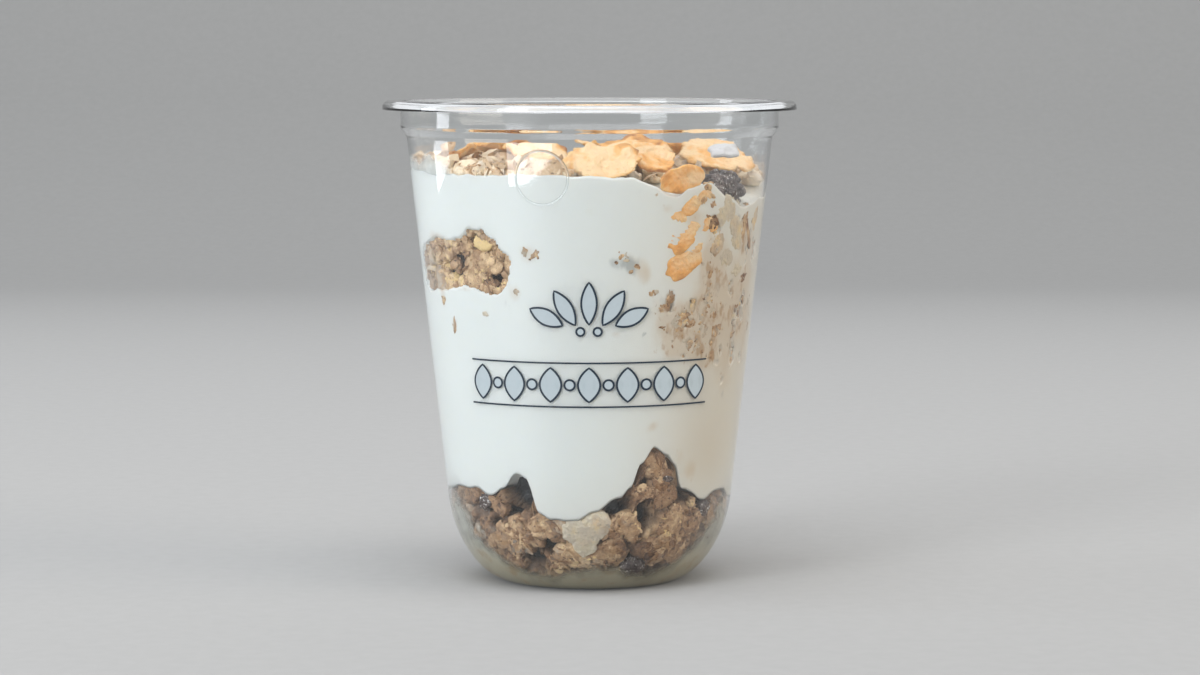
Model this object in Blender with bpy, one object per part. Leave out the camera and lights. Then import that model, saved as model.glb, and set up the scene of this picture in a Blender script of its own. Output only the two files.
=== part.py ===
"""Yogurt parfait in a clear plastic cup with a rounded bottom.

Metres, +Z up. The origin is the middle of the cup's foot, on the surface that it stands on,
and -Y is the side that faces the viewer. Angles round the cup are in degrees, from the
viewer's side, positive towards +X.
"""

import math
import random

import bmesh
import bpy
from mathutils import Euler, Vector, noise

# The cup
CUP_HEIGHT = 0.110
RIM_RADIUS = 0.0475
RIM_FLAT_RADIUS = 0.0464
RIM_DROP = 0.0021
RIM_THICKNESS = 0.0008
LIP_THICKNESS = 0.0006
NECK_RADIUS = 0.0433
STEP_TOP = 0.1037
STEP_BOTTOM = 0.1018
WALL_TOP_RADIUS = 0.0419
JOIN_RADIUS = 0.0327
JOIN_HEIGHT = 0.0195
FOOT_RADIUS = 0.0193
FOOT_FLAT_INNER = 0.0150
FOOT_DOME = 0.0010
FOOT_SWEEP = 0.0057
JOIN_SWEEP = 0.0104
WALL = 0.0005
CUP_SIDES = 48

# The food
GAP = 0.0003
LUMP_SETBACK = 0.0002
FOOD_SIDES = 48
BASE_HEIGHT_MIDDLE = 0.0235
BASE_SHARES = (0.84, 0.56, 0.28)
YOGURT_TOP_MIDDLE = 0.0922
TOP_SHARES = (0.92, 0.72, 0.38)
BED_THICKNESS = 0.0028

# Where the yogurt meets the granola at the wall: angle in degrees, height in metres
BASE_EDGE = (
    (-90, 0.0200), (-75, 0.0220), (-60, 0.0232), (-49, 0.0233), (-42, 0.0220), (-36, 0.0240),
    (-29, 0.0278), (-25, 0.0266), (-20, 0.0190), (-14, 0.0174), (-5, 0.0175), (2, 0.0195),
    (12, 0.0226), (16, 0.0248), (20, 0.0302), (25, 0.0336), (31, 0.0319), (35, 0.0292),
    (39, 0.0238), (52, 0.0205), (60, 0.0222), (68, 0.0221), (76, 0.0198), (90, 0.0190),
    (108, 0.0238), (124, 0.0272), (140, 0.0222), (160, 0.0186), (180, 0.0202), (200, 0.0262),
    (216, 0.0290), (232, 0.0232), (250, 0.0192),
)
# The yogurt's top edge at the wall: angle in degrees, height in metres
TOP_EDGE = (
    (-90, 0.0940), (-75, 0.0946), (-57, 0.0937), (-30, 0.0936), (-15, 0.0939), (13, 0.0937),
    (19, 0.0923), (28, 0.0893), (33, 0.0908), (41, 0.0918), (50, 0.0885), (60, 0.0868),
    (78, 0.0878), (92, 0.0912), (120, 0.0930), (150, 0.0939), (180, 0.0934), (210, 0.0931),
    (240, 0.0938),
)
# Clusters of granola that lie against the wall: name, angle, height, half width along the
# wall, rise from end to end, unevenness, number of pieces
WALL_CLUSTERS = (
    ("granola_left", -52, 0.0745, 0.0145, 0.0010, 0.0024, 5),
    ("granola_right", 51, 0.0600, 0.0130, 0.0070, 0.0024, 5),
    ("granola_upper", 62, 0.0785, 0.0100, 0.0010, 0.0020, 4),
)
CLUSTER_DEPTH = 0.0045
# Pieces of granola that stick up out of the heap: angle, share of the way out to the wall
TOP_LUMPS = (
    (-66, 0.86), (-50, 0.80), (-38, 0.87), (-24, 0.86), (-9, 0.84), (-40, 0.52), (-100, 0.72),
    (20, 0.30), (95, 0.78), (116, 0.52), (143, 0.84), (196, 0.86), (232, 0.76),
)
# Cornflakes on top: x, y, z of the middle, turn about Z, tilt, width, length, bend
TOP_FLAKES = (
    (0.0025, -0.0338, 0.0970, 2, 46, 0.0165, 0.0105, 0.20),
    (0.0099, -0.0168, 0.1004, -14, 30, 0.0160, 0.0120, -0.45),
    (0.0140, -0.0290, 0.0975, 20, 40, 0.0105, 0.0088, 0.30),
    (0.0290, -0.0080, 0.0982, 30, 32, 0.0190, 0.0145, -0.20),
    (-0.0120, -0.0100, 0.0978, 40, 16, 0.0165, 0.0130, 0.38),
    (0.0030, 0.0100, 0.0985, 100, 20, 0.0185, 0.0140, 0.30),
    (0.0230, 0.0110, 0.0975, 150, 18, 0.0170, 0.0135, 0.42),
    (-0.0200, 0.0160, 0.0976, 200, 22, 0.0180, 0.0140, 0.34),
    (0.0100, 0.0290, 0.0968, 175, 26, 0.0165, 0.0130, 0.36),
    (-0.0310, -0.0010, 0.0968, 260, 20, 0.0140, 0.0110, 0.40),
)
# Cornflakes caught between the yogurt and the wall: angle, height, width, length, roll
SIDE_FLAKES = (
    (31, 0.0926, 0.0110, 0.0080, 8),
    (32, 0.0815, 0.0090, 0.0068, 24),
    (33, 0.0745, 0.0100, 0.0062, 16),
)
FLAKE_THICKNESS = 0.0011
# Raisins: x, y, z of the middle, turn about Z, length, width, height
RAISINS = (
    (0.0292, -0.0204, 0.0904, 56, 0.0125, 0.0084, 0.0085),
)
# Coconut chips: x, y, z of the middle, turn about Z, tilt, length, width
COCONUT_CHIPS = (
    (0.0300, -0.0205, 0.0995, 14, 10, 0.0075, 0.0034),
    (-0.0100, 0.0265, 0.0972, 130, 12, 0.0090, 0.0038),
)
COCONUT_THICKNESS = 0.0012


def clear_scene():
    """Removes whatever the scene already holds."""
    for obj in list(bpy.data.objects):
        bpy.data.objects.remove(obj, do_unlink=True)


def material(name, colour, roughness, alpha=1.0):
    """A Principled material with the part's colour, roughness and opacity."""
    made = bpy.data.materials.new(name)
    made.use_nodes = True
    shader = made.node_tree.nodes["Principled BSDF"]
    shader.inputs["Base Color"].default_value = (*colour, 1.0)
    shader.inputs["Roughness"].default_value = roughness
    shader.inputs["Metallic"].default_value = 0.0
    shader.inputs["Alpha"].default_value = alpha
    return made


def bezier(start, lead, trail, end, count):
    """Points of a cubic curve, both ends included."""
    points = []
    for i in range(count + 1):
        t = i / count
        points.append(
            start * (1 - t) ** 3 + lead * 3 * (1 - t) ** 2 * t
            + trail * 3 * (1 - t) * t * t + end * t ** 3
        )
    return points


def wall_curve(inset, count=5):
    """The wall's line in (radius, height), from the foot up to the step, moved inwards by inset."""
    foot = Vector((FOOT_RADIUS, 0.0))
    join = Vector((JOIN_RADIUS, JOIN_HEIGHT))
    top = Vector((WALL_TOP_RADIUS, STEP_BOTTOM))
    upward = (top - join).normalized()
    line = bezier(foot, foot + Vector((FOOT_SWEEP, 0.0)), join - upward * JOIN_SWEEP, join, count)
    line.append(top)
    moved = []
    for i, point in enumerate(line):
        before = line[max(i - 1, 0)]
        after = line[min(i + 1, len(line) - 1)]
        along = Vector((1.0, 0.0)) if i == 0 else (after - before).normalized()
        moved.append(point + Vector((-along.y, along.x)) * inset)
    return moved


INSIDE = wall_curve(WALL)


def inside_radius(height):
    """The radius of the cup's inner wall at a height."""
    for low, high in zip(INSIDE, INSIDE[1:]):
        if height <= high.y:
            share = max(0.0, (height - low.y) / (high.y - low.y))
            return low.x + (high.x - low.x) * share
    return INSIDE[-1].x


def food_radius(height):
    """How far out the food reaches at a height, clear of the wall."""
    return inside_radius(height) - GAP


def round_about(points, angle):
    """A smooth value at an angle, through points given as (angle, value) once round."""
    angle = (angle - points[0][0]) % 360 + points[0][0]
    closed = points + ((points[0][0] + 360, points[0][1]),)
    for (a, low), (b, high) in zip(closed, closed[1:]):
        if a <= angle <= b:
            share = (angle - a) / (b - a)
            return low + (high - low) * share * share * (3 - 2 * share)
    return points[0][1]


def angle_of(x, y):
    """The angle round the cup of a point, in degrees from the viewer's side."""
    return math.degrees(math.atan2(x, -y))


def around(angle, radius, height):
    """The point at an angle round the cup, a radius and a height."""
    turn = math.radians(angle)
    return Vector((math.sin(turn) * radius, -math.cos(turn) * radius, height))


def base_height(angle, share):
    """Where granola gives way to yogurt, at a share of the way out to the wall."""
    lumps = 0.0025 * noise.noise(around(angle, share * 3.0, 1.7))
    return BASE_HEIGHT_MIDDLE + lumps + (round_about(BASE_EDGE, angle) - BASE_HEIGHT_MIDDLE) * share ** 3


def top_height(angle, share):
    """The yogurt's upper surface, at a share of the way out to the wall."""
    waves = 0.0012 * (1 - share) * noise.noise(around(angle, share * 2.4, 5.1))
    return YOGURT_TOP_MIDDLE + waves + (round_about(TOP_EDGE, angle) - YOGURT_TOP_MIDDLE) * share ** 4


def body_from_rings(name, rings, first, last):
    """A closed body from rings of as many points each, with a point at either end."""
    mesh = bpy.data.meshes.new(name)
    shape = bmesh.new()
    start = shape.verts.new(first)
    loops = [[shape.verts.new(point) for point in ring] for ring in rings]
    end = shape.verts.new(last)
    sides = len(rings[0])
    for i in range(sides):
        j = (i + 1) % sides
        shape.faces.new((start, loops[0][j], loops[0][i]))
        for low, high in zip(loops, loops[1:]):
            shape.faces.new((low[i], low[j], high[j], high[i]))
        shape.faces.new((end, loops[-1][i], loops[-1][j]))
    bmesh.ops.triangulate(shape, faces=[face for face in shape.faces if len(face.verts) > 3])
    shape.to_mesh(mesh)
    shape.free()
    return new_object(name, mesh)


def new_object(name, mesh):
    """An object for a mesh, linked to the scene."""
    obj = bpy.data.objects.new(name, mesh)
    bpy.context.scene.collection.objects.link(obj)
    return obj


def largest_piece(mesh):
    """Drops loose scraps and sealed hollows, keeping the mesh's largest closed surface."""
    shape = bmesh.new()
    shape.from_mesh(mesh)
    unseen = set(shape.verts)
    islands = []
    while unseen:
        todo = [unseen.pop()]
        island = list(todo)
        while todo:
            for edge in todo.pop().link_edges:
                for vert in edge.verts:
                    if vert in unseen:
                        unseen.remove(vert)
                        todo.append(vert)
                        island.append(vert)
        islands.append(island)
    islands.sort(key=len, reverse=True)
    scraps = [vert for island in islands[1:] for vert in island]
    bmesh.ops.delete(shape, geom=scraps, context="VERTS")
    shape.to_mesh(mesh)
    shape.free()


def combine(obj, others, operation):
    """Applies one Boolean of obj with a collection of others, which are then removed."""
    group = bpy.data.collections.new("operands")
    bpy.context.scene.collection.children.link(group)
    for other in others:
        group.objects.link(other)
    modifier = obj.modifiers.new("combine", "BOOLEAN")
    modifier.operation = operation
    modifier.solver = "MANIFOLD"
    modifier.operand_type = "COLLECTION"
    modifier.collection = group
    depsgraph = bpy.context.evaluated_depsgraph_get()
    result = bpy.data.meshes.new_from_object(obj.evaluated_get(depsgraph))
    obj.modifiers.clear()
    obj.data = result
    for other in others:
        bpy.data.objects.remove(other, do_unlink=True)
    bpy.data.collections.remove(group)
    largest_piece(obj.data)
    return obj


def finish(obj, surface, sharp_angle=None):
    """Gives an object its material, shaded smooth below an edge angle or else flat."""
    obj.data.materials.clear()
    obj.data.materials.append(surface)
    if sharp_angle is not None:
        obj.data.shade_smooth()
        obj.data.set_sharp_from_angle(angle=math.radians(sharp_angle))
    return obj


def turned(name, profile, sides):
    """A body turned about Z from a profile of (radius, height) that starts and ends on the axis."""
    rings = [
        [around(360 * i / sides, radius, height) for i in range(sides)]
        for radius, height in profile[1:-1]
    ]
    return body_from_rings(name, rings, (0, 0, profile[0][1]), (0, 0, profile[-1][1]))


def make_cup(surface):
    """The clear cup: domed foot, rounded bottom, tapering wall, stacking step and flat rim."""
    outside = [tuple(point) for point in wall_curve(0.0)]
    inside = [tuple(point) for point in reversed(INSIDE)]
    neck_inner = NECK_RADIUS - WALL
    underside = CUP_HEIGHT - RIM_THICKNESS
    lip_bottom = CUP_HEIGHT - RIM_DROP
    rim = [
        (NECK_RADIUS, STEP_TOP),
        (NECK_RADIUS, underside - WALL),
        (NECK_RADIUS + WALL, underside),
        (RIM_FLAT_RADIUS - LIP_THICKNESS / 2, underside),
        (RIM_RADIUS - LIP_THICKNESS, lip_bottom),
        (RIM_RADIUS, lip_bottom),
        (RIM_RADIUS - LIP_THICKNESS / 3, CUP_HEIGHT - RIM_DROP / 3),
        (RIM_FLAT_RADIUS, CUP_HEIGHT),
        (neck_inner + WALL / 2, CUP_HEIGHT),
        (neck_inner, CUP_HEIGHT - WALL),
        (neck_inner, STEP_TOP + WALL / 2),
    ]
    under = [(0.0, FOOT_DOME), (FOOT_FLAT_INNER * 0.75, FOOT_DOME), (FOOT_FLAT_INNER, 0.0)]
    floor = [(FOOT_FLAT_INNER, WALL), (FOOT_FLAT_INNER * 0.75, FOOT_DOME + WALL), (0.0, FOOT_DOME + WALL)]
    cup = turned("cup", under + outside + rim + inside + floor, CUP_SIDES)
    return finish(cup, surface, 40)


def against_wall(point, outward, grow):
    """A point kept inside the wall; a room's point is moved outwards and on through the wall."""
    limit = food_radius(point.z) - LUMP_SETBACK
    reach = math.hypot(point.x, point.y)
    pressed = reach > limit
    if pressed:
        point = Vector((point.x * limit / reach, point.y * limit / reach, point.z))
    point = point + outward * grow
    if pressed and grow:
        point = point + Vector((point.x, point.y, 0.0)).normalized() * GAP
    return point


def lump(name, middle, size, turn, seed, grow=0.0, lowest=None, highest=None):
    """One rough piece of granola: an uneven ball, flattened by what it lies against.

    lowest and highest give a height for an angle and a share of the way out to the wall.
    """
    mesh = bpy.data.meshes.new(name)
    shape = bmesh.new()
    bmesh.ops.create_uvsphere(shape, u_segments=7, v_segments=5, radius=1.0)
    bmesh.ops.triangulate(shape, faces=shape.faces)
    rotation = Euler(turn).to_matrix()
    for vert in shape.verts:
        outward = vert.co.normalized()
        bumpy = 1.0 + 0.45 * noise.noise(outward * 1.7 + Vector((seed * 3.1, seed, -seed)))
        stretched = Vector((outward[i] * size[i] * bumpy for i in range(3)))
        vert.co = against_wall(middle + rotation @ stretched, rotation @ outward, grow)
        reach = math.hypot(vert.co.x, vert.co.y)
        angle, share = angle_of(vert.co.x, vert.co.y), min(reach / food_radius(vert.co.z), 1.0)
        if lowest:
            vert.co.z = max(vert.co.z, lowest(angle, share) + 2 * GAP)
        if highest:
            vert.co.z = min(vert.co.z, highest(angle, share) - 2 * GAP)
    shape.to_mesh(mesh)
    shape.free()
    return new_object(name, mesh)


def base_floor(angle, share):
    """The height of the bottom layer's underside, level over the whole cup."""
    return FOOT_DOME + WALL + GAP


def base_region():
    """The space that the bottom layer may fill: inside the cup and below the yogurt."""
    floor = base_floor(0, 0)
    foot = food_radius(floor)
    steps = (0.0, 0.15, 0.35, 0.65, 1.0)
    shares = BASE_SHARES
    angles = [360 * i / FOOD_SIDES for i in range(FOOD_SIDES)]
    rings = [[around(angle, foot, floor) for angle in angles]]
    for step in steps[1:]:
        ring = []
        for angle in angles:
            height = floor + (base_height(angle, 1.0) - GAP - floor) * step
            ring.append(around(angle, food_radius(height), height))
        rings.append(ring)
    for share in shares:
        ring = []
        for angle in angles:
            height = base_height(angle, share) - GAP
            ring.append(around(angle, food_radius(height) * share, height))
        rings.append(ring)
    return body_from_rings("base_region", rings, (0, 0, floor), (0, 0, base_height(0, 0) - GAP))


def base_lumps():
    """Granola pieces for the side of the bottom layer, row by row up to its edge."""
    chance = random.Random(11)
    lumps = []
    for row, height in enumerate((0.0070, 0.0145, 0.0220, 0.0290)):
        count = 8
        for i in range(count):
            angle = 360 * (i + 0.5 * (row % 2)) / count + chance.uniform(-5, 5)
            level = height + chance.uniform(-0.0012, 0.0012)
            half = chance.uniform(0.0064, 0.0080)
            if level > base_height(angle, 1.0) - 0.15 * half:
                continue
            middle = around(angle, food_radius(level) - 0.42 * half, level)
            size = (half, half * chance.uniform(0.7, 1.0), half * chance.uniform(0.75, 1.0))
            turn = [chance.uniform(0, math.tau) for _ in range(3)]
            lumps.append(lump(
                f"base_lump_{row}_{i}", middle, size, turn, chance.uniform(0, 50),
                lowest=base_floor, highest=base_height,
            ))
    return lumps


def make_granola_base(surface):
    """The bottom layer: a core with rough pieces fused to its side, clipped to its space."""
    floor = base_floor(0, 0)
    angles = [360 * i / 30 for i in range(30)]
    rings = [[around(angle, FOOT_RADIUS * 0.8, floor) for angle in angles]]
    for step in (0.25, 0.6, 1.0):
        ring = []
        for angle in angles:
            height = floor + (base_height(angle, 1.0) - 0.0012 - floor) * step
            ring.append(around(angle, food_radius(height) * 0.93, height))
        rings.append(ring)
    rings.append([
        around(angle, food_radius(base_height(angle, 0.5)) * 0.5, base_height(angle, 0.5) - 0.001)
        for angle in angles
    ])
    top = base_height(0, 0) - 0.001
    base = body_from_rings("granola_base", rings, (0, 0, floor), (0, 0, top))
    combine(base, base_lumps(), "UNION")
    combine(base, [base_region()], "INTERSECT")
    return finish(base, surface)


def cluster_lumps(name, angle, height, half_width, rise, unevenness, count, grow=0.0):
    """The pieces of one cluster at the wall, or with grow the room that they need."""
    chance = random.Random(sum(map(ord, name)))
    pieces = []
    for i in range(count):
        share = (i + 0.5) / count * 2 - 1
        half = chance.uniform(0.0040, 0.0054)
        spread = half_width - half * 0.6
        side = share * spread / food_radius(height)
        level = height + share * rise / 2 + chance.uniform(-unevenness, unevenness)
        radius = food_radius(level) - chance.uniform(0.15, 0.5) * CLUSTER_DEPTH
        middle = around(angle + math.degrees(side), radius, level)
        size = (half, half * chance.uniform(0.75, 1.0), half * chance.uniform(0.8, 1.05))
        turn = [chance.uniform(0, math.tau) for _ in range(3)]
        pieces.append(lump(f"{name}_{i}", middle, size, turn, chance.uniform(0, 50), grow))
    return pieces


def fused(name, pieces):
    """One body of several overlapping pieces."""
    first, rest = pieces[0], pieces[1:]
    first.name = name
    return combine(first, rest, "UNION")


def sheet_body(name, columns, rows, place, thickness):
    """A thin body over an oval net of points; both faces are split into triangles alike.

    place gives the middle surface's point and normal for u and v, which run from -1 to 1.
    """
    rings_u = [(0.0, 0)] + [(ring / rows, columns) for ring in range(1, rows + 1)]
    upper, lower = [], []
    shape = bmesh.new()
    for reach, count in rings_u:
        up, down = [], []
        for i in range(max(count, 1)):
            turn = math.tau * i / max(count, 1)
            point, normal = place(reach * math.cos(turn), reach * math.sin(turn))
            up.append(shape.verts.new(point + normal * thickness / 2))
            down.append(shape.verts.new(point - normal * thickness / 2))
        upper.append(up)
        lower.append(down)
    for i in range(columns):
        j = (i + 1) % columns
        shape.faces.new((upper[0][0], upper[1][i], upper[1][j]))
        shape.faces.new((lower[0][0], lower[1][j], lower[1][i]))
        for inner, outer in zip(range(1, rows), range(2, rows + 1)):
            shape.faces.new((upper[inner][i], upper[outer][i], upper[outer][j]))
            shape.faces.new((upper[inner][i], upper[outer][j], upper[inner][j]))
            shape.faces.new((lower[inner][i], lower[outer][j], lower[outer][i]))
            shape.faces.new((lower[inner][i], lower[inner][j], lower[outer][j]))
        shape.faces.new((upper[-1][i], lower[-1][i], lower[-1][j]))
        shape.faces.new((upper[-1][i], lower[-1][j], upper[-1][j]))
    mesh = bpy.data.meshes.new(name)
    shape.to_mesh(mesh)
    shape.free()
    return new_object(name, mesh)


def top_flake(name, x, y, z, turn, tilt, width, length, bend, grow=0.0):
    """A toasted cornflake: a curled oval with a wavy edge and blisters."""
    seed = x * 900 + y * 700
    rotation = Euler((math.radians(tilt), 0.0, math.radians(turn))).to_matrix()

    def place(u, v):
        ragged = 1.0 + 0.16 * noise.noise(Vector((u * 1.3 + seed, v * 1.3, 2.0)))
        across, along = u * (width / 2 + grow) * ragged, v * (length / 2 + grow) * ragged
        curl = bend * (across * across / width + 0.5 * along * along / length)
        blister = 0.0009 * noise.noise(Vector((u * 2.2, v * 2.2, seed)))
        flat = Vector((across, along, curl + blister))
        lean = Vector((-2 * bend * across / width, -bend * along / length, 1.0)).normalized()
        point = Vector((x, y, z)) + rotation @ flat
        limit = food_radius(min(point.z, STEP_BOTTOM)) - FLAKE_THICKNESS * 0.8 + grow
        reach = math.hypot(point.x, point.y)
        if reach > limit:
            point.x *= limit / reach
            point.y *= limit / reach
        return point, rotation @ lean

    return sheet_body(name, 11, 2, place, FLAKE_THICKNESS + 2 * grow)


def side_flake(name, angle, height, width, length, roll, grow=0.0):
    """A cornflake that lies flat against the wall, caught in the yogurt."""
    twist = math.radians(roll)

    def place(u, v):
        ragged = 1.0 + 0.18 * noise.noise(Vector((u * 1.5 + height * 500, v * 1.5, 4.0)))
        across, along = u * (width / 2 + grow) * ragged, v * (length / 2 + grow) * ragged
        level = height + across * math.sin(twist) + along * math.cos(twist)
        side = across * math.cos(twist) - along * math.sin(twist)
        reach = food_radius(level) - FLAKE_THICKNESS / 2
        point = around(angle + math.degrees(side / reach), reach, level)
        return point, Vector((point.x, point.y, 0.0)).normalized()

    return sheet_body(name, 12, 2, place, FLAKE_THICKNESS + 2 * grow)


def raisin(name, x, y, z, turn, length, width, height, grow=0.0):
    """A raisin: an oval with deep wrinkles, kept inside the wall."""
    mesh = bpy.data.meshes.new(name)
    shape = bmesh.new()
    bmesh.ops.create_icosphere(shape, subdivisions=3, radius=1.0)
    rotation = Euler((0.0, 0.0, math.radians(turn))).to_matrix()
    for vert in shape.verts:
        outward = vert.co.normalized()
        fold = abs(noise.noise(outward * 2.6 + Vector((x * 400, y * 400, z * 90))))
        scale = 0.86 + 0.34 * min(fold * 2.2, 0.6)
        size = Vector((outward.x * length, outward.y * width, outward.z * height)) * 0.5
        vert.co = against_wall(Vector((x, y, z)) + rotation @ (size * scale), rotation @ outward, grow)
    shape.to_mesh(mesh)
    shape.free()
    return new_object(name, mesh)


def coconut_chip(name, x, y, z, turn, tilt, length, width, grow=0.0):
    """A shaving of coconut: a short curved strip with uneven ends."""
    rotation = Euler((math.radians(tilt), 0.0, math.radians(turn))).to_matrix()

    def place(u, v):
        ragged = 1.0 + 0.20 * noise.noise(Vector((u * 2.1, v * 2.1, length * 900)))
        across, along = u * (length / 2 + grow) * ragged, v * (width / 2 + grow) * ragged
        arch = -3.0 * across * across / length * 0.3
        lean = Vector((1.8 * across / length, 0.0, 1.0)).normalized()
        return Vector((x, y, z)) + rotation @ Vector((across, along, arch)), rotation @ lean

    return sheet_body(name, 10, 2, place, COCONUT_THICKNESS + 2 * grow)


def toppings(grow=0.0):
    """Everything that is as large as a berry and lies on the granola, or the room it needs."""
    made = [top_flake(f"cornflake_{i:02d}", *spec, grow=grow) for i, spec in enumerate(TOP_FLAKES, 1)]
    made += [raisin(f"raisin_{i:02d}", *spec, grow=grow) for i, spec in enumerate(RAISINS, 1)]
    made += [
        coconut_chip(f"coconut_chip_{i:02d}", *spec, grow=grow)
        for i, spec in enumerate(COCONUT_CHIPS, 1)
    ]
    return made


def top_ring(share, lift=0.0):
    """A ring of points on the yogurt's top, or some way above it, at a share of the way out."""
    ring = []
    for i in range(FOOD_SIDES):
        angle = 360 * i / FOOD_SIDES
        height = top_height(angle, share)
        ring.append(around(angle, food_radius(height) * share, height + lift))
    return ring


def make_granola_top(surface):
    """The granola scattered on the yogurt: a low bed with rough pieces fused on."""
    chance = random.Random(29)
    rings = [top_ring(share, GAP) for share in reversed(TOP_SHARES)]
    rings.append(top_ring(TOP_SHARES[0], GAP + BED_THICKNESS * 0.5))
    for share in TOP_SHARES[1:]:
        ring = top_ring(share, GAP + BED_THICKNESS)
        rings.append([point + Vector((0, 0, 0.0016 * noise.noise(point * 260))) for point in ring])
    middle = top_height(0, 0)
    bed = body_from_rings("granola_top", rings, (0, 0, middle + GAP), (0, 0, middle + BED_THICKNESS))
    pieces = []
    for i, (angle, share) in enumerate(TOP_LUMPS):
        half = chance.uniform(0.0040, 0.0054)
        ground = top_height(angle, share)
        place = around(angle, share * food_radius(ground), ground + BED_THICKNESS * 0.9)
        size = (half, half * chance.uniform(0.7, 1.0), half * chance.uniform(0.55, 0.8))
        turn = (chance.uniform(-0.5, 0.5), chance.uniform(-0.5, 0.5), chance.uniform(0, math.tau))
        seed = chance.uniform(0, 50)
        pieces.append(lump(f"top_lump_{i}", place, size, turn, seed, lowest=top_height))
    combine(bed, pieces, "UNION")
    combine(bed, toppings(grow=GAP), "DIFFERENCE")
    return finish(bed, surface)


def make_yogurt(surface):
    """The yogurt: one body from the bottom layer up to its top, hollowed round what lies in it."""
    angles = [360 * i / FOOD_SIDES for i in range(FOOD_SIDES)]
    rings = []
    for share in reversed(BASE_SHARES):
        ring = []
        for angle in angles:
            height = base_height(angle, share)
            ring.append(around(angle, food_radius(height) * share, height))
        rings.append(ring)
    for step in (0.0, 0.5, 1.0):
        ring = []
        for angle in angles:
            low, high = base_height(angle, 1.0), top_height(angle, 1.0)
            height = low + (high - low) * step
            ring.append(around(angle, food_radius(height), height))
        rings.append(ring)
    rings += [top_ring(share) for share in TOP_SHARES]
    yogurt = body_from_rings("yogurt", rings, (0, 0, base_height(0, 0)), (0, 0, top_height(0, 0)))
    room = []
    for spec in WALL_CLUSTERS:
        room += cluster_lumps(*spec, grow=1.7 * GAP)
    room += [side_flake(f"room_{i}", *spec, grow=GAP) for i, spec in enumerate(SIDE_FLAKES)]
    room += toppings(grow=GAP)
    combine(yogurt, room, "DIFFERENCE")
    return finish(yogurt, surface, 50)


def main():
    clear_scene()
    plastic = material("clear_plastic", (0.92, 0.95, 0.95), 0.05, alpha=0.3)
    milk = material("yogurt", (0.86, 0.88, 0.84), 0.35)
    oats = material("granola", (0.46, 0.31, 0.18), 0.85)
    corn = material("cornflake", (0.85, 0.52, 0.20), 0.60)
    dried = material("raisin", (0.05, 0.035, 0.035), 0.40)
    shaving = material("coconut", (0.85, 0.84, 0.80), 0.55)
    make_cup(plastic)
    make_granola_base(oats)
    for spec in WALL_CLUSTERS:
        finish(fused(spec[0], cluster_lumps(*spec)), oats)
    make_yogurt(milk)
    make_granola_top(oats)
    for i, spec in enumerate(SIDE_FLAKES, 1):
        finish(side_flake(f"side_flake_{i:02d}", *spec), corn, 35)
    finishes = {"cornflake": corn, "raisin": dried, "coconut": shaving}
    for piece in toppings():
        finish(piece, finishes[piece.name.split("_")[0]], 35)


main()
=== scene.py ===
"""Looks of a yogurt parfait in a clear round-bottomed cup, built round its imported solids.

Metres, +Z up, the viewer on -Y. Angles round the cup are in degrees from the viewer's side,
positive towards +X. Heights and radii follow the same named sizes as the solids.
"""

import logging
import math
from dataclasses import dataclass, field
from enum import Enum
from itertools import product
from typing import Iterable, Optional, Union

import bmesh
import bpy
import numpy as np
from mathutils import Euler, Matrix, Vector, noise


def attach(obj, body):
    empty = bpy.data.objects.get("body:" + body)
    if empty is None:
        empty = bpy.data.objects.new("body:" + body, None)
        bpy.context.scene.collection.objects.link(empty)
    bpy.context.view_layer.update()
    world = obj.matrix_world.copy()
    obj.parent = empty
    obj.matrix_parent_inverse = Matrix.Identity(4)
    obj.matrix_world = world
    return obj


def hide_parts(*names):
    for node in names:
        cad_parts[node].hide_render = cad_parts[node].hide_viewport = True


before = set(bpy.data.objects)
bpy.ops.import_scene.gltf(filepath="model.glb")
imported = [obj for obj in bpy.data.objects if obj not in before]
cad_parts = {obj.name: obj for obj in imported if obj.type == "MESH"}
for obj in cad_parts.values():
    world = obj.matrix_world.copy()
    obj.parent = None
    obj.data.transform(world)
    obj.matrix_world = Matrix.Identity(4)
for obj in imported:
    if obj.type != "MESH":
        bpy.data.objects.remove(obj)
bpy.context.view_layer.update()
LOG = logging.getLogger("parfait")
MM = 0.001
HASH_PRIMES = (73856093, 19349663, 83492791)
HASH_SEED = 2654435
HASH_MIXERS = ((13, 1274126177), (15, 668265263))
HASH_MASK = 0x7FFFFFFF
HASH_STEPS = 65536
LOW_WALL, MIDDLE_WALL, TOP_WALL = 33.0, 38.0, 40.0  # rough radii in millimetres, for patterns
Array = np.ndarray
Colour = tuple[float, float, float]
Value = Union["Signal", float, Colour]
Line = list[tuple[float, float]]


def smooth_noise(points: Array, size: float, seed: int = 0) -> Array:
    """Smooth random values over space.

    Args:
        points: Places in metres, with the last axis holding x, y and z.
        size: How wide a lump of the noise is, in metres.
        seed: Picks one of many patterns.

    Returns:
        Values between -1 and 1, one for each place.
    """
    place = points / size + seed * 17.13
    cell = np.floor(place).astype(np.int64)
    share = place - cell
    share = share * share * (3.0 - 2.0 * share)
    total = np.zeros(points.shape[:-1])
    for corner in product((False, True), repeat=3):
        mixed = seed * HASH_SEED
        for axis, prime in enumerate(HASH_PRIMES):
            mixed = (cell[..., axis] + corner[axis]) * prime ^ mixed
        for shift, factor in HASH_MIXERS:
            mixed = (mixed ^ (mixed >> shift)) * factor & HASH_MASK
        sides = [share[..., i] if far else 1.0 - share[..., i] for i, far in enumerate(corner)]
        total += np.prod(sides, axis=0) * ((mixed >> 7) % HASH_STEPS * 2.0 / HASH_STEPS - 1.0)
    return total


def layered_noise(points: Array, size: float, seed: int = 0, layers: int = 3) -> Array:
    """Noise with finer layers added, each half as wide and half as strong."""
    return sum(smooth_noise(points, size / 2**i, seed + i) / 2**i for i in range(layers))


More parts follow.
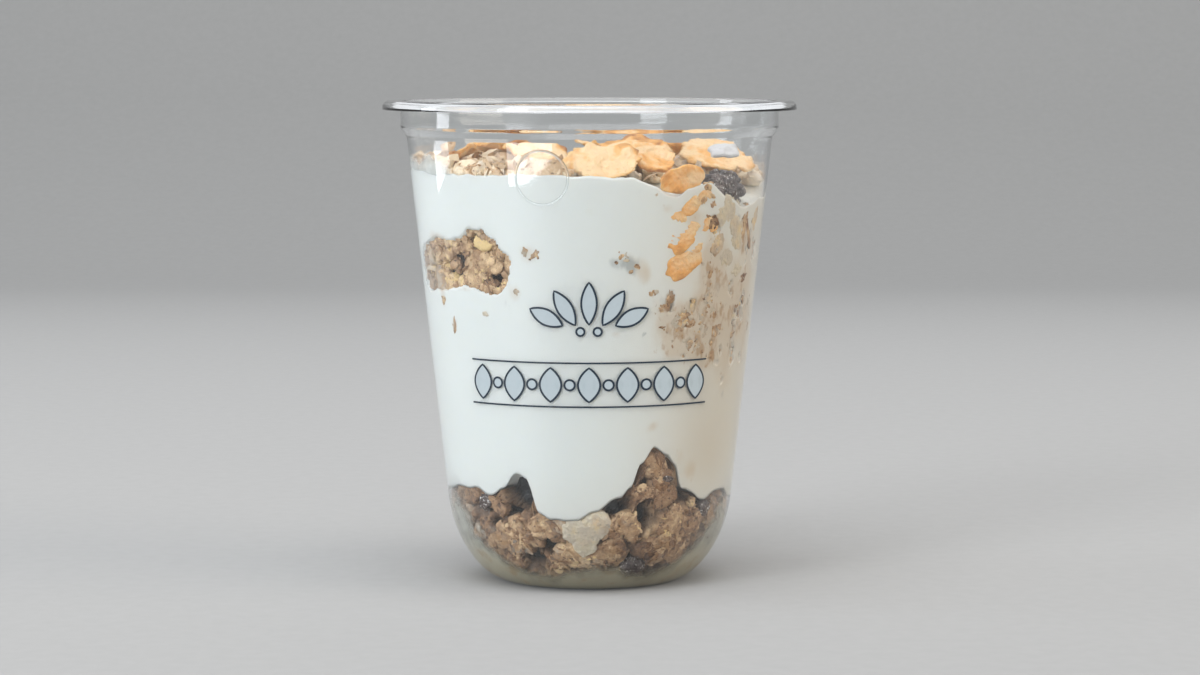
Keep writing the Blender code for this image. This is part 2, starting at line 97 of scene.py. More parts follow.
def fade(values: Array, low: float, high: float) -> Array:
    """A smooth step from 0 at low to 1 at high."""
    share = np.clip((values - low) / (high - low), 0.0, 1.0)
    return share * share * (3.0 - 2.0 * share)


def round_about(knots: Iterable[tuple[float, float]], angles: Array) -> Array:
    """Values at angles round the cup, eased between knots of (angle, value).

    Args:
        knots: Angle in degrees and value, in rising order, once round.
        angles: Where the values are wanted, in degrees.

    Returns:
        One value for each angle.
    """
    table = np.array(list(knots))
    table = np.vstack([table, table[:1] + (360.0, 0.0)])
    wrapped = (angles - table[0, 0]) % 360.0 + table[0, 0]
    after = np.clip(np.searchsorted(table[:, 0], wrapped, side="right"), 1, len(table) - 1)
    low, high = table[after - 1], table[after]
    share = (wrapped - low[..., 0]) / (high[..., 0] - low[..., 0])
    return low[..., 1] + (high[..., 1] - low[..., 1]) * share * share * (3.0 - 2.0 * share)


def around(angle: Array, radius: Array, height: Array) -> Array:
    """Points round the cup.

    Args:
        angle: Their angles in degrees.
        radius: How far they are from the cup's axis.
        height: How high they are.

    Returns:
        The points, with x, y and z on the last axis.
    """
    turn = np.radians(angle)
    parts = np.broadcast_arrays(np.sin(turn) * radius, -np.cos(turn) * radius, height)
    return np.stack(parts, axis=-1)


def angle_of(points: Array) -> Array:
    """The angle round the cup of each point, in degrees."""
    return np.degrees(np.arctan2(points[..., 0], -points[..., 1]))


def all_round(count: int) -> Array:
    """Evenly spaced angles once round the cup, in degrees."""
    return np.arange(count) * 360.0 / count


def apart(angle: Array, middle: float) -> Array:
    """How far angles are from a middle one, in degrees from -180 to 180."""
    return (angle - middle + 180.0) % 360.0 - 180.0


def turned(*angles: float) -> Array:
    """The rotation matrix of Euler angles in degrees."""
    return np.array(Euler(tuple(math.radians(angle) for angle in angles)).to_matrix())


def lens_body(side: Array, reach: Array, thickness: float, power: int = 8) -> Array:
    """How far a flake's faces stand off its middle sheet, thinner only near its edge."""
    return side * thickness / 2 * np.sqrt(np.maximum(1 - reach**power, 0.0))


def ragged_edge(u: Array, v: Array, shift: Vector, stretch: float, strength: float) -> Array:
    """How ragged a flake is.

    Args:
        u: Places across its net.
        v: Places along its net.
        shift: Picks one of many patterns.
        stretch: How fine the pattern is.
        strength: How far it departs from 1.

    Returns:
        How far out the flake reaches at each place, as a factor about 1.
    """
    places = zip(u * stretch, v * stretch)
    return np.array([1.0 + strength * noise.noise(Vector((a, b, 0.0)) + shift) for a, b in places])


def turns(chance: np.random.Generator, count: int) -> Array:
    """Random rotation matrices, evenly spread over all directions.

    Args:
        chance: Where the random numbers come from.
        count: How many are wanted.

    Returns:
        The matrices, as (count, 3, 3).
    """
    axes = chance.normal(size=(count, 4))
    w, x, y, z = (axes / np.linalg.norm(axes, axis=1, keepdims=True)).T
    rows = [
        [1 - 2 * (y * y + z * z), 2 * (x * y - z * w), 2 * (x * z + y * w)],
        [2 * (x * y + z * w), 1 - 2 * (x * x + z * z), 2 * (y * z - x * w)],
        [2 * (x * z - y * w), 2 * (y * z + x * w), 1 - 2 * (x * x + y * y)],
    ]
    return np.stack([np.stack(row, axis=-1) for row in rows], axis=-2)


def facing(normals: Array, spin: Array) -> Array:
    """Rotation matrices that turn +Z to each normal.

    Args:
        normals: The directions wanted.
        spin: How far each is spun about its normal, in radians.

    Returns:
        One matrix for each normal.
    """
    normals = normals / np.linalg.norm(normals, axis=-1, keepdims=True)
    helper = np.where(np.abs(normals[..., 2:]) < 0.9, (0.0, 0.0, 1.0), (1.0, 0.0, 0.0))
    first = np.cross(helper, normals)
    first /= np.linalg.norm(first, axis=-1, keepdims=True)
    second = np.cross(normals, first)
    cosine, sine = np.cos(spin)[..., None], np.sin(spin)[..., None]
    turned_axes = first * cosine + second * sine, second * cosine - first * sine
    return np.stack([*turned_axes, normals], axis=-1)


class Signal:
    """A number that a shader works out, written as an expression."""

    def __init__(self, shader: "Shader", socket: bpy.types.NodeSocket) -> None:
        """Wraps one output socket of a shader's node."""
        self.shader = shader
        self.socket = socket

    def _math(self, operation: str, second: Value) -> "Signal":
        """Adds one Math node on this number and another, and returns its value."""
        inputs = {0: self, 1: second}
        return self.shader.node("ShaderNodeMath", {"operation": operation}, inputs)["Value"]

    def __add__(self, other: Value) -> "Signal":
        """This number plus another."""
        return self._math("ADD", other)

    __radd__ = __add__

    def __sub__(self, other: Value) -> "Signal":
        """This number less another."""
        return self._math("SUBTRACT", other)

    def __mul__(self, other: Value) -> "Signal":
        """This number times another."""
        return self._math("MULTIPLY", other)

    def between(self, low: float, high: float) -> "Signal":
        """A smooth step from 0 at low to 1 at high.

        Args:
            low: Where the step starts.
            high: Where it ends.

        Returns:
            The step's value.
        """
        return self.shader.node(
            "ShaderNodeMapRange",
            {"interpolation_type": "SMOOTHSTEP"},
            {"Value": self, "From Min": low, "From Max": high},
        )["Result"]


class Shader:
    """A material whose nodes are added one by one."""

    def __init__(self, name: str) -> None:
        """Starts a material with only a Principled node and its output.

        Args:
            name: The material's name.
        """
        self.material = bpy.data.materials.new(name)
        self.material.use_nodes = True
        self.tree = self.material.node_tree
        self.principled = self.tree.nodes["Principled BSDF"]

    def node(
        self, kind: str, settings: Optional[dict] = None, inputs: Optional[dict] = None
    ) -> dict[str, Signal]:
        """Adds a node.

        Args:
            kind: The node's type.
            settings: Its properties, set first; "stops" holds a ramp's positions and colours.
            inputs: Values or signals of its sockets, by name or number.

        Returns:
            Its outputs by name, each a Signal.
        """
        made = self.tree.nodes.new(kind)
        for key, value in (settings or {}).items():
            if key == "stops":
                elements = made.color_ramp.elements
                for i, (position, colour) in enumerate(value):
                    stop = elements[i] if i < 2 else elements.new(position)
                    stop.position, stop.color = position, (*colour, 1.0)
            else:
                setattr(made, key, value)
        for key, value in (inputs or {}).items():
            self.feed(made.inputs[key], value)
        return {out.name: Signal(self, out) for out in made.outputs if out.enabled}

    def feed(self, socket: bpy.types.NodeSocket, value: Value) -> None:
        """Links a signal to a socket, or sets a constant on it.

        Args:
            socket: The input to fill.
            value: The signal, number or colour for it.
        """
        if isinstance(value, Signal):
            self.tree.links.new(value.socket, socket)
        elif isinstance(value, tuple) and len(value) == 3 and socket.type == "RGBA":
            socket.default_value = (*value, 1.0)
        else:
            socket.default_value = value

    def place(self) -> Signal:
        """Where the shaded point is, in metres."""
        return self.node("ShaderNodeTexCoord")["Object"]

    def tint(self, name: str) -> Signal:
        """A number painted on the mesh's points."""
        return self.node("ShaderNodeAttribute", {"attribute_name": name})["Fac"]

    def noise(self, size: float, detail: float = 3.0, stretch: Colour = (1.0, 1.0, 1.0)) -> Signal:
        """Noise from 0 to 1 with lumps of a size in metres, drawn out along the axes by stretch.

        Args:
            size: How wide a lump is, in metres.
            detail: How many finer layers it has.
            stretch: How far it is drawn out along x, y and z.

        Returns:
            The noise, from 0 to 1.
        """
        scale = tuple(1.0 / (size * s) for s in stretch)
        place = self.node("ShaderNodeMapping", inputs={"Vector": self.place(), "Scale": scale})
        inputs = {"Vector": place["Vector"], "Scale": 1.0, "Detail": detail}
        return self.node("ShaderNodeTexNoise", inputs=inputs)["Fac"]

    def cells(self, size: float) -> Signal:
        """The distance to the nearest of many scattered points, for pits and blisters.

        Args:
            size: How far apart the points are, in metres.

        Returns:
            The distance, in sizes.
        """
        return self.node(
            "ShaderNodeTexVoronoi", inputs={"Vector": self.place(), "Scale": 1.0 / size}
        )["Distance"]

    def mix(self, share: Value, first: Value, second: Value) -> Signal:
        """One colour turning into another.

        Args:
            share: How much of the second colour shows.
            first: The colour at share 0.
            second: The colour at share 1.

        Returns:
            The mixed colour.
        """
        made = self.tree.nodes.new("ShaderNodeMix")
        made.data_type = "RGBA"
        for number, value in ((0, share), (6, first), (7, second)):
            self.feed(made.inputs[number], value)
        return Signal(self, made.outputs[2])

    def ramp(self, value: Signal, *stops: tuple[float, Colour]) -> Signal:
        """Colours picked along a ramp."""
        return self.node("ShaderNodeValToRGB", {"stops": stops}, {"Fac": value})["Color"]

    def bump(self, height: Signal, depth: float, strength: float = 1.0) -> Signal:
        """A bumpy normal from a height between 0 and 1, with a depth in metres."""
        inputs = {"Height": height, "Distance": depth, "Strength": strength}
        return self.node("ShaderNodeBump", inputs=inputs)["Normal"]

    def surface(self, **inputs: Value) -> bpy.types.Material:
        """Sets the Principled node's inputs, named with underscores for spaces.

        Args:
            **inputs: Their values or signals.

        Returns:
            The finished material.
        """
        for key, value in inputs.items():
            self.feed(self.principled.inputs[key.replace("_", " ")], value)
        return self.material


@dataclass(frozen=True)
class ClearPlastic:
    """Thin clear thermoformed plastic, which lets light through to what it holds."""

    colour: Colour = (0.975, 0.985, 0.985)
    roughness: float = 0.025
    index: float = 1.46

    def material(self) -> bpy.types.Material:
        """Builds the material; its shadow is that of a clear film, not of a solid.

        Returns:
            The finished material.
        """
        shader = Shader("clear_plastic")
        shader.surface(
            Base_Color=self.colour,
            Roughness=shader.noise(30 * MM, 2.0).between(0.3, 0.8) * 0.02 + self.roughness,
            IOR=self.index,
            Transmission_Weight=1.0,
        )
        shadow = shader.node("ShaderNodeLightPath")["Is Shadow Ray"]
        clear = shader.tree.nodes.new("ShaderNodeBsdfTransparent")
        clear.inputs["Color"].default_value = (0.95, 0.96, 0.96, 1.0)
        mixed = shader.tree.nodes.new("ShaderNodeMixShader")
        output = shader.tree.nodes["Material Output"]
        shader.feed(mixed.inputs[0], shadow)
        shader.tree.links.new(shader.principled.outputs[0], mixed.inputs[1])
        shader.tree.links.new(clear.outputs[0], mixed.inputs[2])
        shader.tree.links.new(mixed.outputs[0], output.inputs["Surface"])
        return shader.material


class StainKind(Enum):
    """What shows through a thin coat of yogurt, by the name of the tint that paints it."""

    HAZE = "haze"
    FLECK = "fleck"
    SHADOW = "shadow"


@dataclass(frozen=True)
class YogurtFinish:
    """Smooth white yogurt, stained where granola shows through a thin coat of it, and creamier and
    darker on the right: real cream tint and painted shade.
    """

    white: Colour = (0.775, 0.805, 0.785)
    cream_with_painted_shade: Colour = (0.67, 0.61, 0.51)
    beige: Colour = (0.62, 0.51, 0.38)
    oat: Colour = (0.46, 0.30, 0.165)
    bran: Colour = (0.25, 0.15, 0.09)
    slate: Colour = (0.30, 0.33, 0.33)

    def material(self) -> bpy.types.Material:
        """Builds the material from painted tints: a creamy one, partly real cream and partly
        painted shade on the right, then haze, fleck and shadow.

        Returns:
            The finished material.
        """
        shader = Shader("yogurt")
        # A creamier, darker colour over the right side: partly real cream, partly painted shade.
        colour = shader.mix(shader.tint("warm"), self.white, self.cream_with_painted_shade)
        haze, fleck, shadow = (shader.tint(kind.value) for kind in StainKind)
        cloud = shader.noise(5.0 * MM, 4.0, (1.0, 1.0, 1.6))
        streak = shader.noise(1.9 * MM, 4.0, (1.0, 1.0, 2.0))
        speck = shader.noise(1.0 * MM, 3.0, (1.0, 1.0, 1.6))
        fine = shader.noise(0.5 * MM, 3.0)
        layers = (
            (haze * 1.5 + cloud * 1.6 - 1.15, 0.9, 0.62, self.beige),
            (shadow * 1.3 + cloud * 1.0 + streak * 1.4 - 1.55, 0.7, 0.60, self.slate),
            (haze * 0.9 + streak * 2.8 - 2.2, 0.45, 0.70, self.oat),
            (fleck * 1.5 + streak * 1.4 + fine * 0.6 - 1.7, 0.5, 0.85, self.oat),
            (haze * 0.5 + fleck * 0.5 + speck * 3.2 - 2.6, 0.3, 0.70, self.bran),
        )
        for strength, full, share, tone in layers:
            colour = shader.mix(strength.between(0.0, full) * share, colour, tone)
        grain = shader.noise(1.4 * MM, 3.0)
        return shader.surface(
            Base_Color=colour,
            Roughness=grain * 0.12 + 0.28,
            Subsurface_Weight=0.25,
            Subsurface_Radius=(1.0, 0.9, 0.75),
            Subsurface_Scale=0.0015,
            Normal=shader.bump(grain, 0.06 * MM, 0.5),
        )


@dataclass(frozen=True)
class GranolaFinish:
    """Toasted oats, pale to brown, with painted shade in the gaps and whitened where yogurt clings.
    """

    name: str = "granola"
    nut: Colour = (0.78, 0.57, 0.27)
    straw: Colour = (0.71, 0.51, 0.30)
    tan: Colour = (0.49, 0.312, 0.172)
    brown: Colour = (0.26, 0.138, 0.066)
    burnt: Colour = (0.06, 0.030, 0.020)
    # Near-black colour of painted shade, for gaps and crevices.
    gap: Colour = (0.010, 0.011, 0.014)
    milk: Colour = (0.62, 0.58, 0.49)

    def material(self) -> bpy.types.Material:
        """Builds the material from the painted tints called toast, sunk and milk; sunk is painted
        shade.

        Returns:
            The finished material.
        """
        shader = Shader(self.name)
        patches = shader.noise(2.2 * MM, 4.0)
        fine = shader.noise(0.55 * MM, 4.0)
        toast = shader.tint("toast") * 0.7 + patches * 0.5 + fine * 0.25 - 0.3
        colour = shader.ramp(
            toast, (0.0, self.nut), (0.12, self.straw), (0.30, self.tan), (0.60, self.brown),
            (0.95, self.burnt),
        )
        flecks = (shader.noise(0.8 * MM, 2.0) + shader.tint("toast") * 0.12).between(0.66, 0.74)
        colour = shader.mix(flecks * 0.75, colour, self.burnt)
        wet = (shader.tint("milk") * 1.5 + patches * 1.2 - 1.15).between(0.0, 0.7)
        colour = shader.mix(wet * 0.75, colour, self.milk)
        # Painted shade: the sunk tint darkens gaps, crevices and deep places.
        colour = shader.mix(shader.tint("sunk"), colour, self.gap)
        rough = shader.cells(0.9 * MM) * 0.6 + fine * 0.6 + shader.noise(0.2 * MM, 2.0) * 0.3
        return shader.surface(
            Base_Color=colour,
            Roughness=0.42 + fine * 0.45,
            Coat_Weight=shader.noise(1.3 * MM, 2.0).between(0.5, 0.72) * 0.5,
            Coat_Roughness=0.18,
            Normal=shader.bump(rough, 0.30 * MM, 0.8),
        )


@dataclass(frozen=True)
class CornflakeFinish:
    """Toasted cornflake: peach where thin, deep orange and brown towards edge and blisters."""

    peach: Colour = (0.90, 0.64, 0.37)
    orange: Colour = (0.86, 0.46, 0.155)
    brown: Colour = (0.50, 0.22, 0.08)

    def material(self) -> bpy.types.Material:
        """Builds the material from the painted tint called toast.

        Returns:
            The finished material.
        """
        shader = Shader("cornflake")
        broad = shader.noise(6.0 * MM, 3.0)
        fine = shader.noise(0.7 * MM, 4.0)
        toast = shader.tint("toast") * 0.8 + broad * 0.6 + fine * 0.25 - 0.42
        colour = shader.ramp(toast, (0.10, self.peach), (0.55, self.orange), (1.0, self.brown))
        specks = shader.noise(0.55 * MM, 2.0).between(0.66, 0.74)
        colour = shader.mix(specks * 0.55, colour, self.brown)
        blister = shader.cells(1.1 * MM) * 0.7 + fine * 0.6 + shader.noise(0.25 * MM, 2.0) * 0.3
        return shader.surface(
            Base_Color=colour,
            Roughness=0.45 + fine * 0.3,
            Subsurface_Weight=0.2,
            Subsurface_Radius=(1.0, 0.6, 0.3),
            Subsurface_Scale=0.0012,
            Normal=shader.bump(blister, 0.36 * MM, 0.9),
        )


@dataclass(frozen=True)
class RaisinFinish:
    """Dark wrinkled raisin skin with a greyish bloom and tiny white specks, partly sugar and partly
    painted glints.
    """

    name: str = "raisin"
    skin: Colour = (0.030, 0.017, 0.016)
    bloom: Colour = (0.22, 0.17, 0.15)
    sugar_and_painted_glint: Colour = (0.80, 0.78, 0.75)

    def material(self) -> bpy.types.Material:
        """Builds the material from noise alone.

        Returns:
            The finished material.
        """
        shader = Shader(self.name)
        dust = shader.noise(0.35 * MM, 4.0)
        broad = shader.noise(2.5 * MM, 3.0)
        colour = shader.mix((dust * 0.7 + broad * 0.5).between(0.52, 0.80), self.skin, self.bloom)
        # Tiny white specks: partly sugar, partly painted glints.
        glints = (shader.noise(0.5 * MM, 2.0) + broad * 0.25).between(0.74, 0.80)
        colour = shader.mix(glints * 0.8, colour, self.sugar_and_painted_glint)
        return shader.surface(
            Base_Color=colour,
            Roughness=0.25 + broad * 0.3,
            Coat_Weight=dust.between(0.45, 0.6) * 0.8,
            Coat_Roughness=0.12,
            Normal=shader.bump(dust + broad, 0.2 * MM, 0.8),
        )


@dataclass(frozen=True)
class CoconutFinish:
    """White waxy coconut, faintly fibrous along its length."""

    white: Colour = (0.68, 0.68, 0.69)
    shade: Colour = (0.55, 0.53, 0.53)

    def material(self) -> bpy.types.Material:
        """Builds the material from noise alone.

        Returns:
            The finished material.
        """
        shader = Shader("coconut")
        fibre = shader.noise(0.8 * MM, 3.0, (3.0, 1.0, 1.0))
        return shader.surface(
            Base_Color=shader.mix(fibre, self.white, self.shade),
            Roughness=0.3 + fibre * 0.2,
            Subsurface_Weight=0.3,
            Subsurface_Radius=(1.0, 1.0, 1.0),
            Subsurface_Scale=0.001,
            Normal=shader.bump(fibre, 0.1 * MM, 0.5),
        )


@dataclass(frozen=True)
class MilkFinish:
    """A thin milky film on the inside of the wall, clear where its tint is 0."""

    milk: Colour = (0.80, 0.83, 0.81)
    # Darker whey colour, which also stands for painted shade low down.
    whey: Colour = (0.46, 0.42, 0.31)
    tan: Colour = (0.40, 0.27, 0.14)

    def material(self) -> bpy.types.Material:
        """Builds the material from painted tints: cover, and one that darkens and browns the film,
        partly as whey and partly as painted shade.

        Returns:
            The finished material.
        """
        shader = Shader("milk_film")
        cloud = shader.noise(4.5 * MM, 4.0) * 0.7 + shader.noise(1.2 * MM, 3.0) * 0.3
        cover = (shader.tint("cover") * 1.15 + cloud * 0.8 - 0.5).between(0.0, 1.0)
        stain = shader.noise(5.0 * MM, 3.0).between(0.5, 0.68) * shader.tint("whey")
        colour = shader.mix(shader.tint("whey"), self.milk, self.whey)
        colour = shader.mix(stain * 0.6, colour, self.tan)
        return shader.surface(Base_Color=colour, Roughness=0.4, Alpha=cover * 0.95)


@dataclass(frozen=True)
class InkFinish:
    """Screen-printed ink on the outside of the wall."""

    name: str
    colour: Colour
    opacity: float = 1.0

    def material(self) -> bpy.types.Material:
        """Builds the material; the ink's density varies a little, as a screen leaves it.

        Returns:
            The finished material.
        """
        shader = Shader(self.name)
        mottle = shader.noise(0.8 * MM, 2.0)
        density = (mottle * 0.14 + 0.93) * self.opacity if self.opacity < 1.0 else 1.0
        darker = tuple(c * 0.8 for c in self.colour)
        return shader.surface(
            Base_Color=shader.mix(mottle, self.colour, darker), Roughness=0.35, Alpha=density
        )


@dataclass(frozen=True)
class CupForm:
    """The cup's driving sizes, in metres, and the curves of its wall that follow from them."""

    height: float = 0.110
    rim_radius: float = 0.0475
    rim_flat_radius: float = 0.0464
    rim_drop: float = 0.0021
    rim_thickness: float = 0.0008
    lip_thickness: float = 0.0006
    neck_radius: float = 0.0433
    step_top: float = 0.1037
    step_bottom: float = 0.1018
    wall_top_radius: float = 0.0419
    join_radius: float = 0.0327
    join_height: float = 0.0195
    foot_radius: float = 0.0193
    foot_flat_inner: float = 0.0150
    foot_dome: float = 0.0010
    foot_sweep: float = 0.0057
    join_sweep: float = 0.0104
    wall: float = 0.0005
    spine_height: float = 0.0200
    squash: float = 0.0003

    @property
    def dome_radius(self) -> float:
        """The radius of the foot's dome where it starts to bend down."""
        return self.foot_flat_inner * 0.75

    def wall_line(self, inset: float, count: int = 24) -> Array:
        """The wall's line from foot to step.

        Args:
            inset: How far the line is moved inwards from the outer face.
            count: How many spans the rounded bottom has.

        Returns:
            Radius and height of each point.
        """
        corners = (
            (self.foot_radius, 0.0), (self.join_radius, self.join_height),
            (self.wall_top_radius, self.step_bottom),
        )
        foot, join, top = map(np.array, corners)
        upward = (top - join) / np.linalg.norm(top - join)
        t = np.linspace(0.0, 1.0, count + 1)[:, None]
        lead, trail = foot + (self.foot_sweep, 0.0), join - upward * self.join_sweep
        curve = foot * (1 - t) ** 3 + lead * 3 * (1 - t) ** 2 * t
        curve += trail * 3 * (1 - t) * t * t + join * t**3
        line = np.vstack([curve, join + (top - join) * 0.5, top])
        along = np.gradient(line, axis=0)
        along[0] = (1.0, 0.0)
        along /= np.linalg.norm(along, axis=1, keepdims=True)
        return line + np.stack([-along[:, 1], along[:, 0]], axis=1) * inset

    def radius(self, height: Array, inset: float) -> Array:
        """The wall's radius at heights, moved inwards by inset from its outer face."""
        line = self.wall_line(inset)
        return np.interp(height, line[:, 1], line[:, 0])

    def inner_radius(self, height: Array) -> Array:
        """The radius of the inner face at heights."""
        return self.radius(height, self.wall)

    def reach(self, points: Array, inset: float) -> tuple[Array, Array, Array]:
        """How far points are from the cup's spine, and how far the wall is that way.

        Above the spine's foot the way is level; below it, it fans out over the rounded bottom.

        Args:
            points: Places in metres.
            inset: Which face of the wall is meant, as a distance in from its outer face.

        Returns:
            The distance from the spine, the wall's distance, and the spine's height for each.
        """
        line = self.wall_line(inset)
        dome = inset + self.foot_dome
        floor = np.vstack([
            (0.0, dome), (self.dome_radius, dome), (self.foot_flat_inner, inset),
            line[line[:, 1] < self.spine_height],
        ])
        drop = self.spine_height - floor[:, 1]
        lean = np.arctan2(drop, floor[:, 0])[::-1]
        span = np.hypot(drop, floor[:, 0])[::-1]
        base = np.maximum(points[..., 2], self.spine_height)
        level = np.hypot(points[..., 0], points[..., 1])
        below = base - points[..., 2]
        out = np.hypot(level, below)
        wall = np.where(
            below > 0.0,
            np.interp(np.arctan2(below, level), lean, span),
            self.radius(points[..., 2], inset),
        )
        return out, wall, base

    def press(self, points: Array, inset: float, softness: float = 0.0007) -> Array:
        """Flattens points against a face of the wall, so that none goes past it.

        Args:
            points: Places in metres.
            inset: How far in from the outer face the flattened points stop.
            softness: Over what depth the flattening comes in.

        Returns:
            The moved places.
        """
        out, wall, base = self.reach(points, inset)
        start = wall - self.squash
        over = np.maximum(out - start, 0.0)
        pressed = start + self.squash * (1.0 - np.exp(-over / softness))
        scale = np.where(out > start, pressed / np.maximum(out, 1e-6), 1.0)[..., None]
        spine = np.stack([np.zeros_like(base), np.zeros_like(base), base], axis=-1)
        return spine + (points - spine) * scale


@dataclass(frozen=True)
class FoodForm:
    """The levels of the food: where the layers meet, and the yogurt's top."""

    cup: CupForm
    base_middle: float = 0.0235
    top_middle: float = 0.0922
    base_edge: tuple = (
        (-90, 0.0200), (-75, 0.0220), (-60, 0.0232), (-49, 0.0233), (-42, 0.0220), (-36, 0.0240),
        (-29, 0.0278), (-25, 0.0266), (-20, 0.0190), (-14, 0.0174), (-5, 0.0175), (2, 0.0195),
        (12, 0.0226), (16, 0.0248), (20, 0.0302), (25, 0.0336), (31, 0.0319), (35, 0.0292),
        (39, 0.0238), (52, 0.0205), (60, 0.0222), (68, 0.0221), (76, 0.0198), (90, 0.0190),
        (108, 0.0238), (124, 0.0272), (140, 0.0222), (160, 0.0186), (180, 0.0202), (200, 0.0262),
        (216, 0.0290), (232, 0.0232), (250, 0.0192),
    )
    top_edge: tuple = (
        (-90, 0.0940), (-75, 0.0946), (-57, 0.0937), (-30, 0.0936), (-15, 0.0939), (13, 0.0937),
        (19, 0.0923), (28, 0.0893), (33, 0.0908), (41, 0.0918), (50, 0.0885), (60, 0.0868),
        (78, 0.0878), (92, 0.0912), (120, 0.0930), (150, 0.0939), (180, 0.0934), (210, 0.0931),
        (240, 0.0938),
    )

    def base_height(self, angle: Array, share: Array) -> Array:
        """Where granola gives way to yogurt, at shares of the way out to the wall.

        Args:
            angle: Angles in degrees.
            share: Shares of the way from the axis to the wall.

        Returns:
            Heights in metres.
        """
        edge = round_about(self.base_edge, angle)
        edge = edge + 0.35 * MM * smooth_noise(around(angle, LOW_WALL * MM, edge), 2.2 * MM, 3)
        lumps = 0.8 * MM * smooth_noise(around(angle, share * 30 * MM, 0.0), 6 * MM, 4)
        return self.base_middle + lumps * (1 - share) + (edge - self.base_middle) * share**3

    def top_height(self, angle: Array, share: Array) -> Array:
        """The yogurt's upper surface, at shares of the way out to the wall.

        Args:
            angle: Angles in degrees.
            share: Shares of the way from the axis to the wall.

        Returns:
            Heights in metres.
        """
        edge = round_about(self.top_edge, angle)
        edge = edge + 0.60 * MM * layered_noise(around(angle, TOP_WALL * MM, edge), 4.5 * MM, 5)
        waves = 0.6 * MM * smooth_noise(around(angle, share * 40 * MM, 0.0), 8 * MM, 6)
        return self.top_middle + waves * (1 - share) + (edge - self.top_middle) * share**4


class Heap:
    """Many small bodies gathered into one mesh, with tints painted on their points."""

    def __init__(self) -> None:
        """Starts an empty heap."""
        self.points: list[Array] = []
        self.faces: list[Array] = []
        self.tints: dict[str, list[Array]] = {}
        self.count = 0

    def add(self, points: Array, faces: Array, **tints: "Array | float") -> None:
        """Adds bodies that share one net of faces.

        Args:
            points: Places, as (bodies, points, 3) or (points, 3).
            faces: Corner numbers of one body's faces.
            tints: Numbers painted on the points, broadcast to (bodies, points).
        """
        points = points if points.ndim == 3 else points[None]
        bodies, size = points.shape[:2]
        offsets = self.count + np.arange(bodies)[:, None, None] * size
        self.points.append(points.reshape(-1, 3))
        self.faces.append((faces[None] + offsets).reshape(-1, faces.shape[1]))
        for name, value in tints.items():
            painted = np.broadcast_to(np.asarray(value, float), (bodies, size))
            self.tints.setdefault(name, []).append(painted.reshape(-1))
        self.count += bodies * size

    def build(
        self, name: str, material: bpy.types.Material, smooth: float = 180.0
    ) -> bpy.types.Object:
        """Makes the object.

        Args:
            name: The object's name.
            material: Its finish.
            smooth: Edges below this angle in degrees are shaded smooth.

        Returns:
            The new object, linked to the scene.
        """
        corners = self.faces[0].shape[1]
        points, faces = np.concatenate(self.points), np.concatenate(self.faces)
        mesh = bpy.data.meshes.new(name)
        mesh.vertices.add(len(points))
        mesh.vertices.foreach_set("co", points.astype(np.float32).ravel())
        mesh.loops.add(faces.size)
        mesh.loops.foreach_set("vertex_index", faces.astype(np.int32).ravel())
        mesh.polygons.add(len(faces))
        starts = np.arange(0, faces.size, corners, dtype=np.int32)
        mesh.polygons.foreach_set("loop_start", starts)
        mesh.update(calc_edges=True)
        mesh.validate()
        for tint, values in self.tints.items():
            layer = mesh.attributes.new(tint, "FLOAT", "POINT")
            layer.data.foreach_set("value", np.concatenate(values).astype(np.float32))
        mesh.shade_smooth()
        if smooth < 180.0:
            mesh.set_sharp_from_angle(angle=math.radians(smooth))
        mesh.materials.append(material)
        made = bpy.data.objects.new(name, mesh)
        bpy.context.scene.collection.objects.link(made)
        return made


def ball(level: int) -> tuple[Array, Array]:
    """An icosphere of radius 1: its points and triangles.

    Args:
        level: How often it is divided, 1 for the plain icosahedron.

    Returns:
        Points and triangles.
    """
    shape = bmesh.new()
    bmesh.ops.create_icosphere(shape, subdivisions=level, radius=1.0)
    points = np.array([vert.co for vert in shape.verts])
    faces = np.array([[vert.index for vert in face.verts] for face in shape.faces])
    shape.free()
    return points, faces


def leaf(rings: int, spokes: int) -> tuple[Array, Array]:
    """A round two-sided net for flakes.

    Args:
        rings: Rings between the middle and the edge, the edge included.
        spokes: Points in a ring.

    Returns:
        Points as (across, along, side), side being 1 on top, -1 below and 0 at the edge, and
        the triangles.
    """
    turn = np.arange(spokes) * math.tau / spokes
    points, index = [], {}
    for side in (1, -1):
        index[side, 0] = np.full(spokes, len(points))
        points.append((0.0, 0.0, side))
        for ring in range(1, rings + (side == 1)):
            index[side, ring] = len(points) + np.arange(spokes)
            reach, face = ring / rings, side * (ring < rings)
            points += [(reach * math.cos(a), reach * math.sin(a), face) for a in turn]
    index[-1, rings] = index[1, rings]
    faces = []
    for side in (1, -1):
        for ring in range(rings):
            inner, outer = index[side, ring], index[side, ring + 1]
            for i in range(spokes):
                j = (i + 1) % spokes
                faces.append((inner[i], outer[i], outer[j])[::side])
                if ring:
                    faces.append((inner[i], outer[j], inner[j])[::side])
    return np.array(points, float), np.array(faces)


@dataclass
class Scatter:
    """Places for small pieces: where each is, which way it faces, and how it is tinted."""

    middle: Array
    normal: Array
    toast: Array
    milk: Array

    def some(self, chance: np.random.Generator, count: int) -> "Scatter":
        """A random choice of the places."""
        total = len(self.middle)
        return self.kept(chance.choice(total, min(count, total), replace=False))

    def kept(self, pick: Array) -> "Scatter":
        """The places that a mask or a list of numbers picks."""
        return Scatter(*(values[pick] for values in vars(self).values()))

    @staticmethod
    def joined(parts: Iterable["Scatter"]) -> "Scatter":
        """All places of several sets in one."""
        columns = zip(*(vars(part).values() for part in parts))
        return Scatter(*(np.concatenate(values) for values in columns))


class OatKind(Enum):
    """The small things that granola is made of, with length, width and thickness in metres."""

    FLAKE = (6.2 * MM, 4.6 * MM, 0.75 * MM)
    BROKEN = (3.6 * MM, 2.8 * MM, 0.65 * MM)


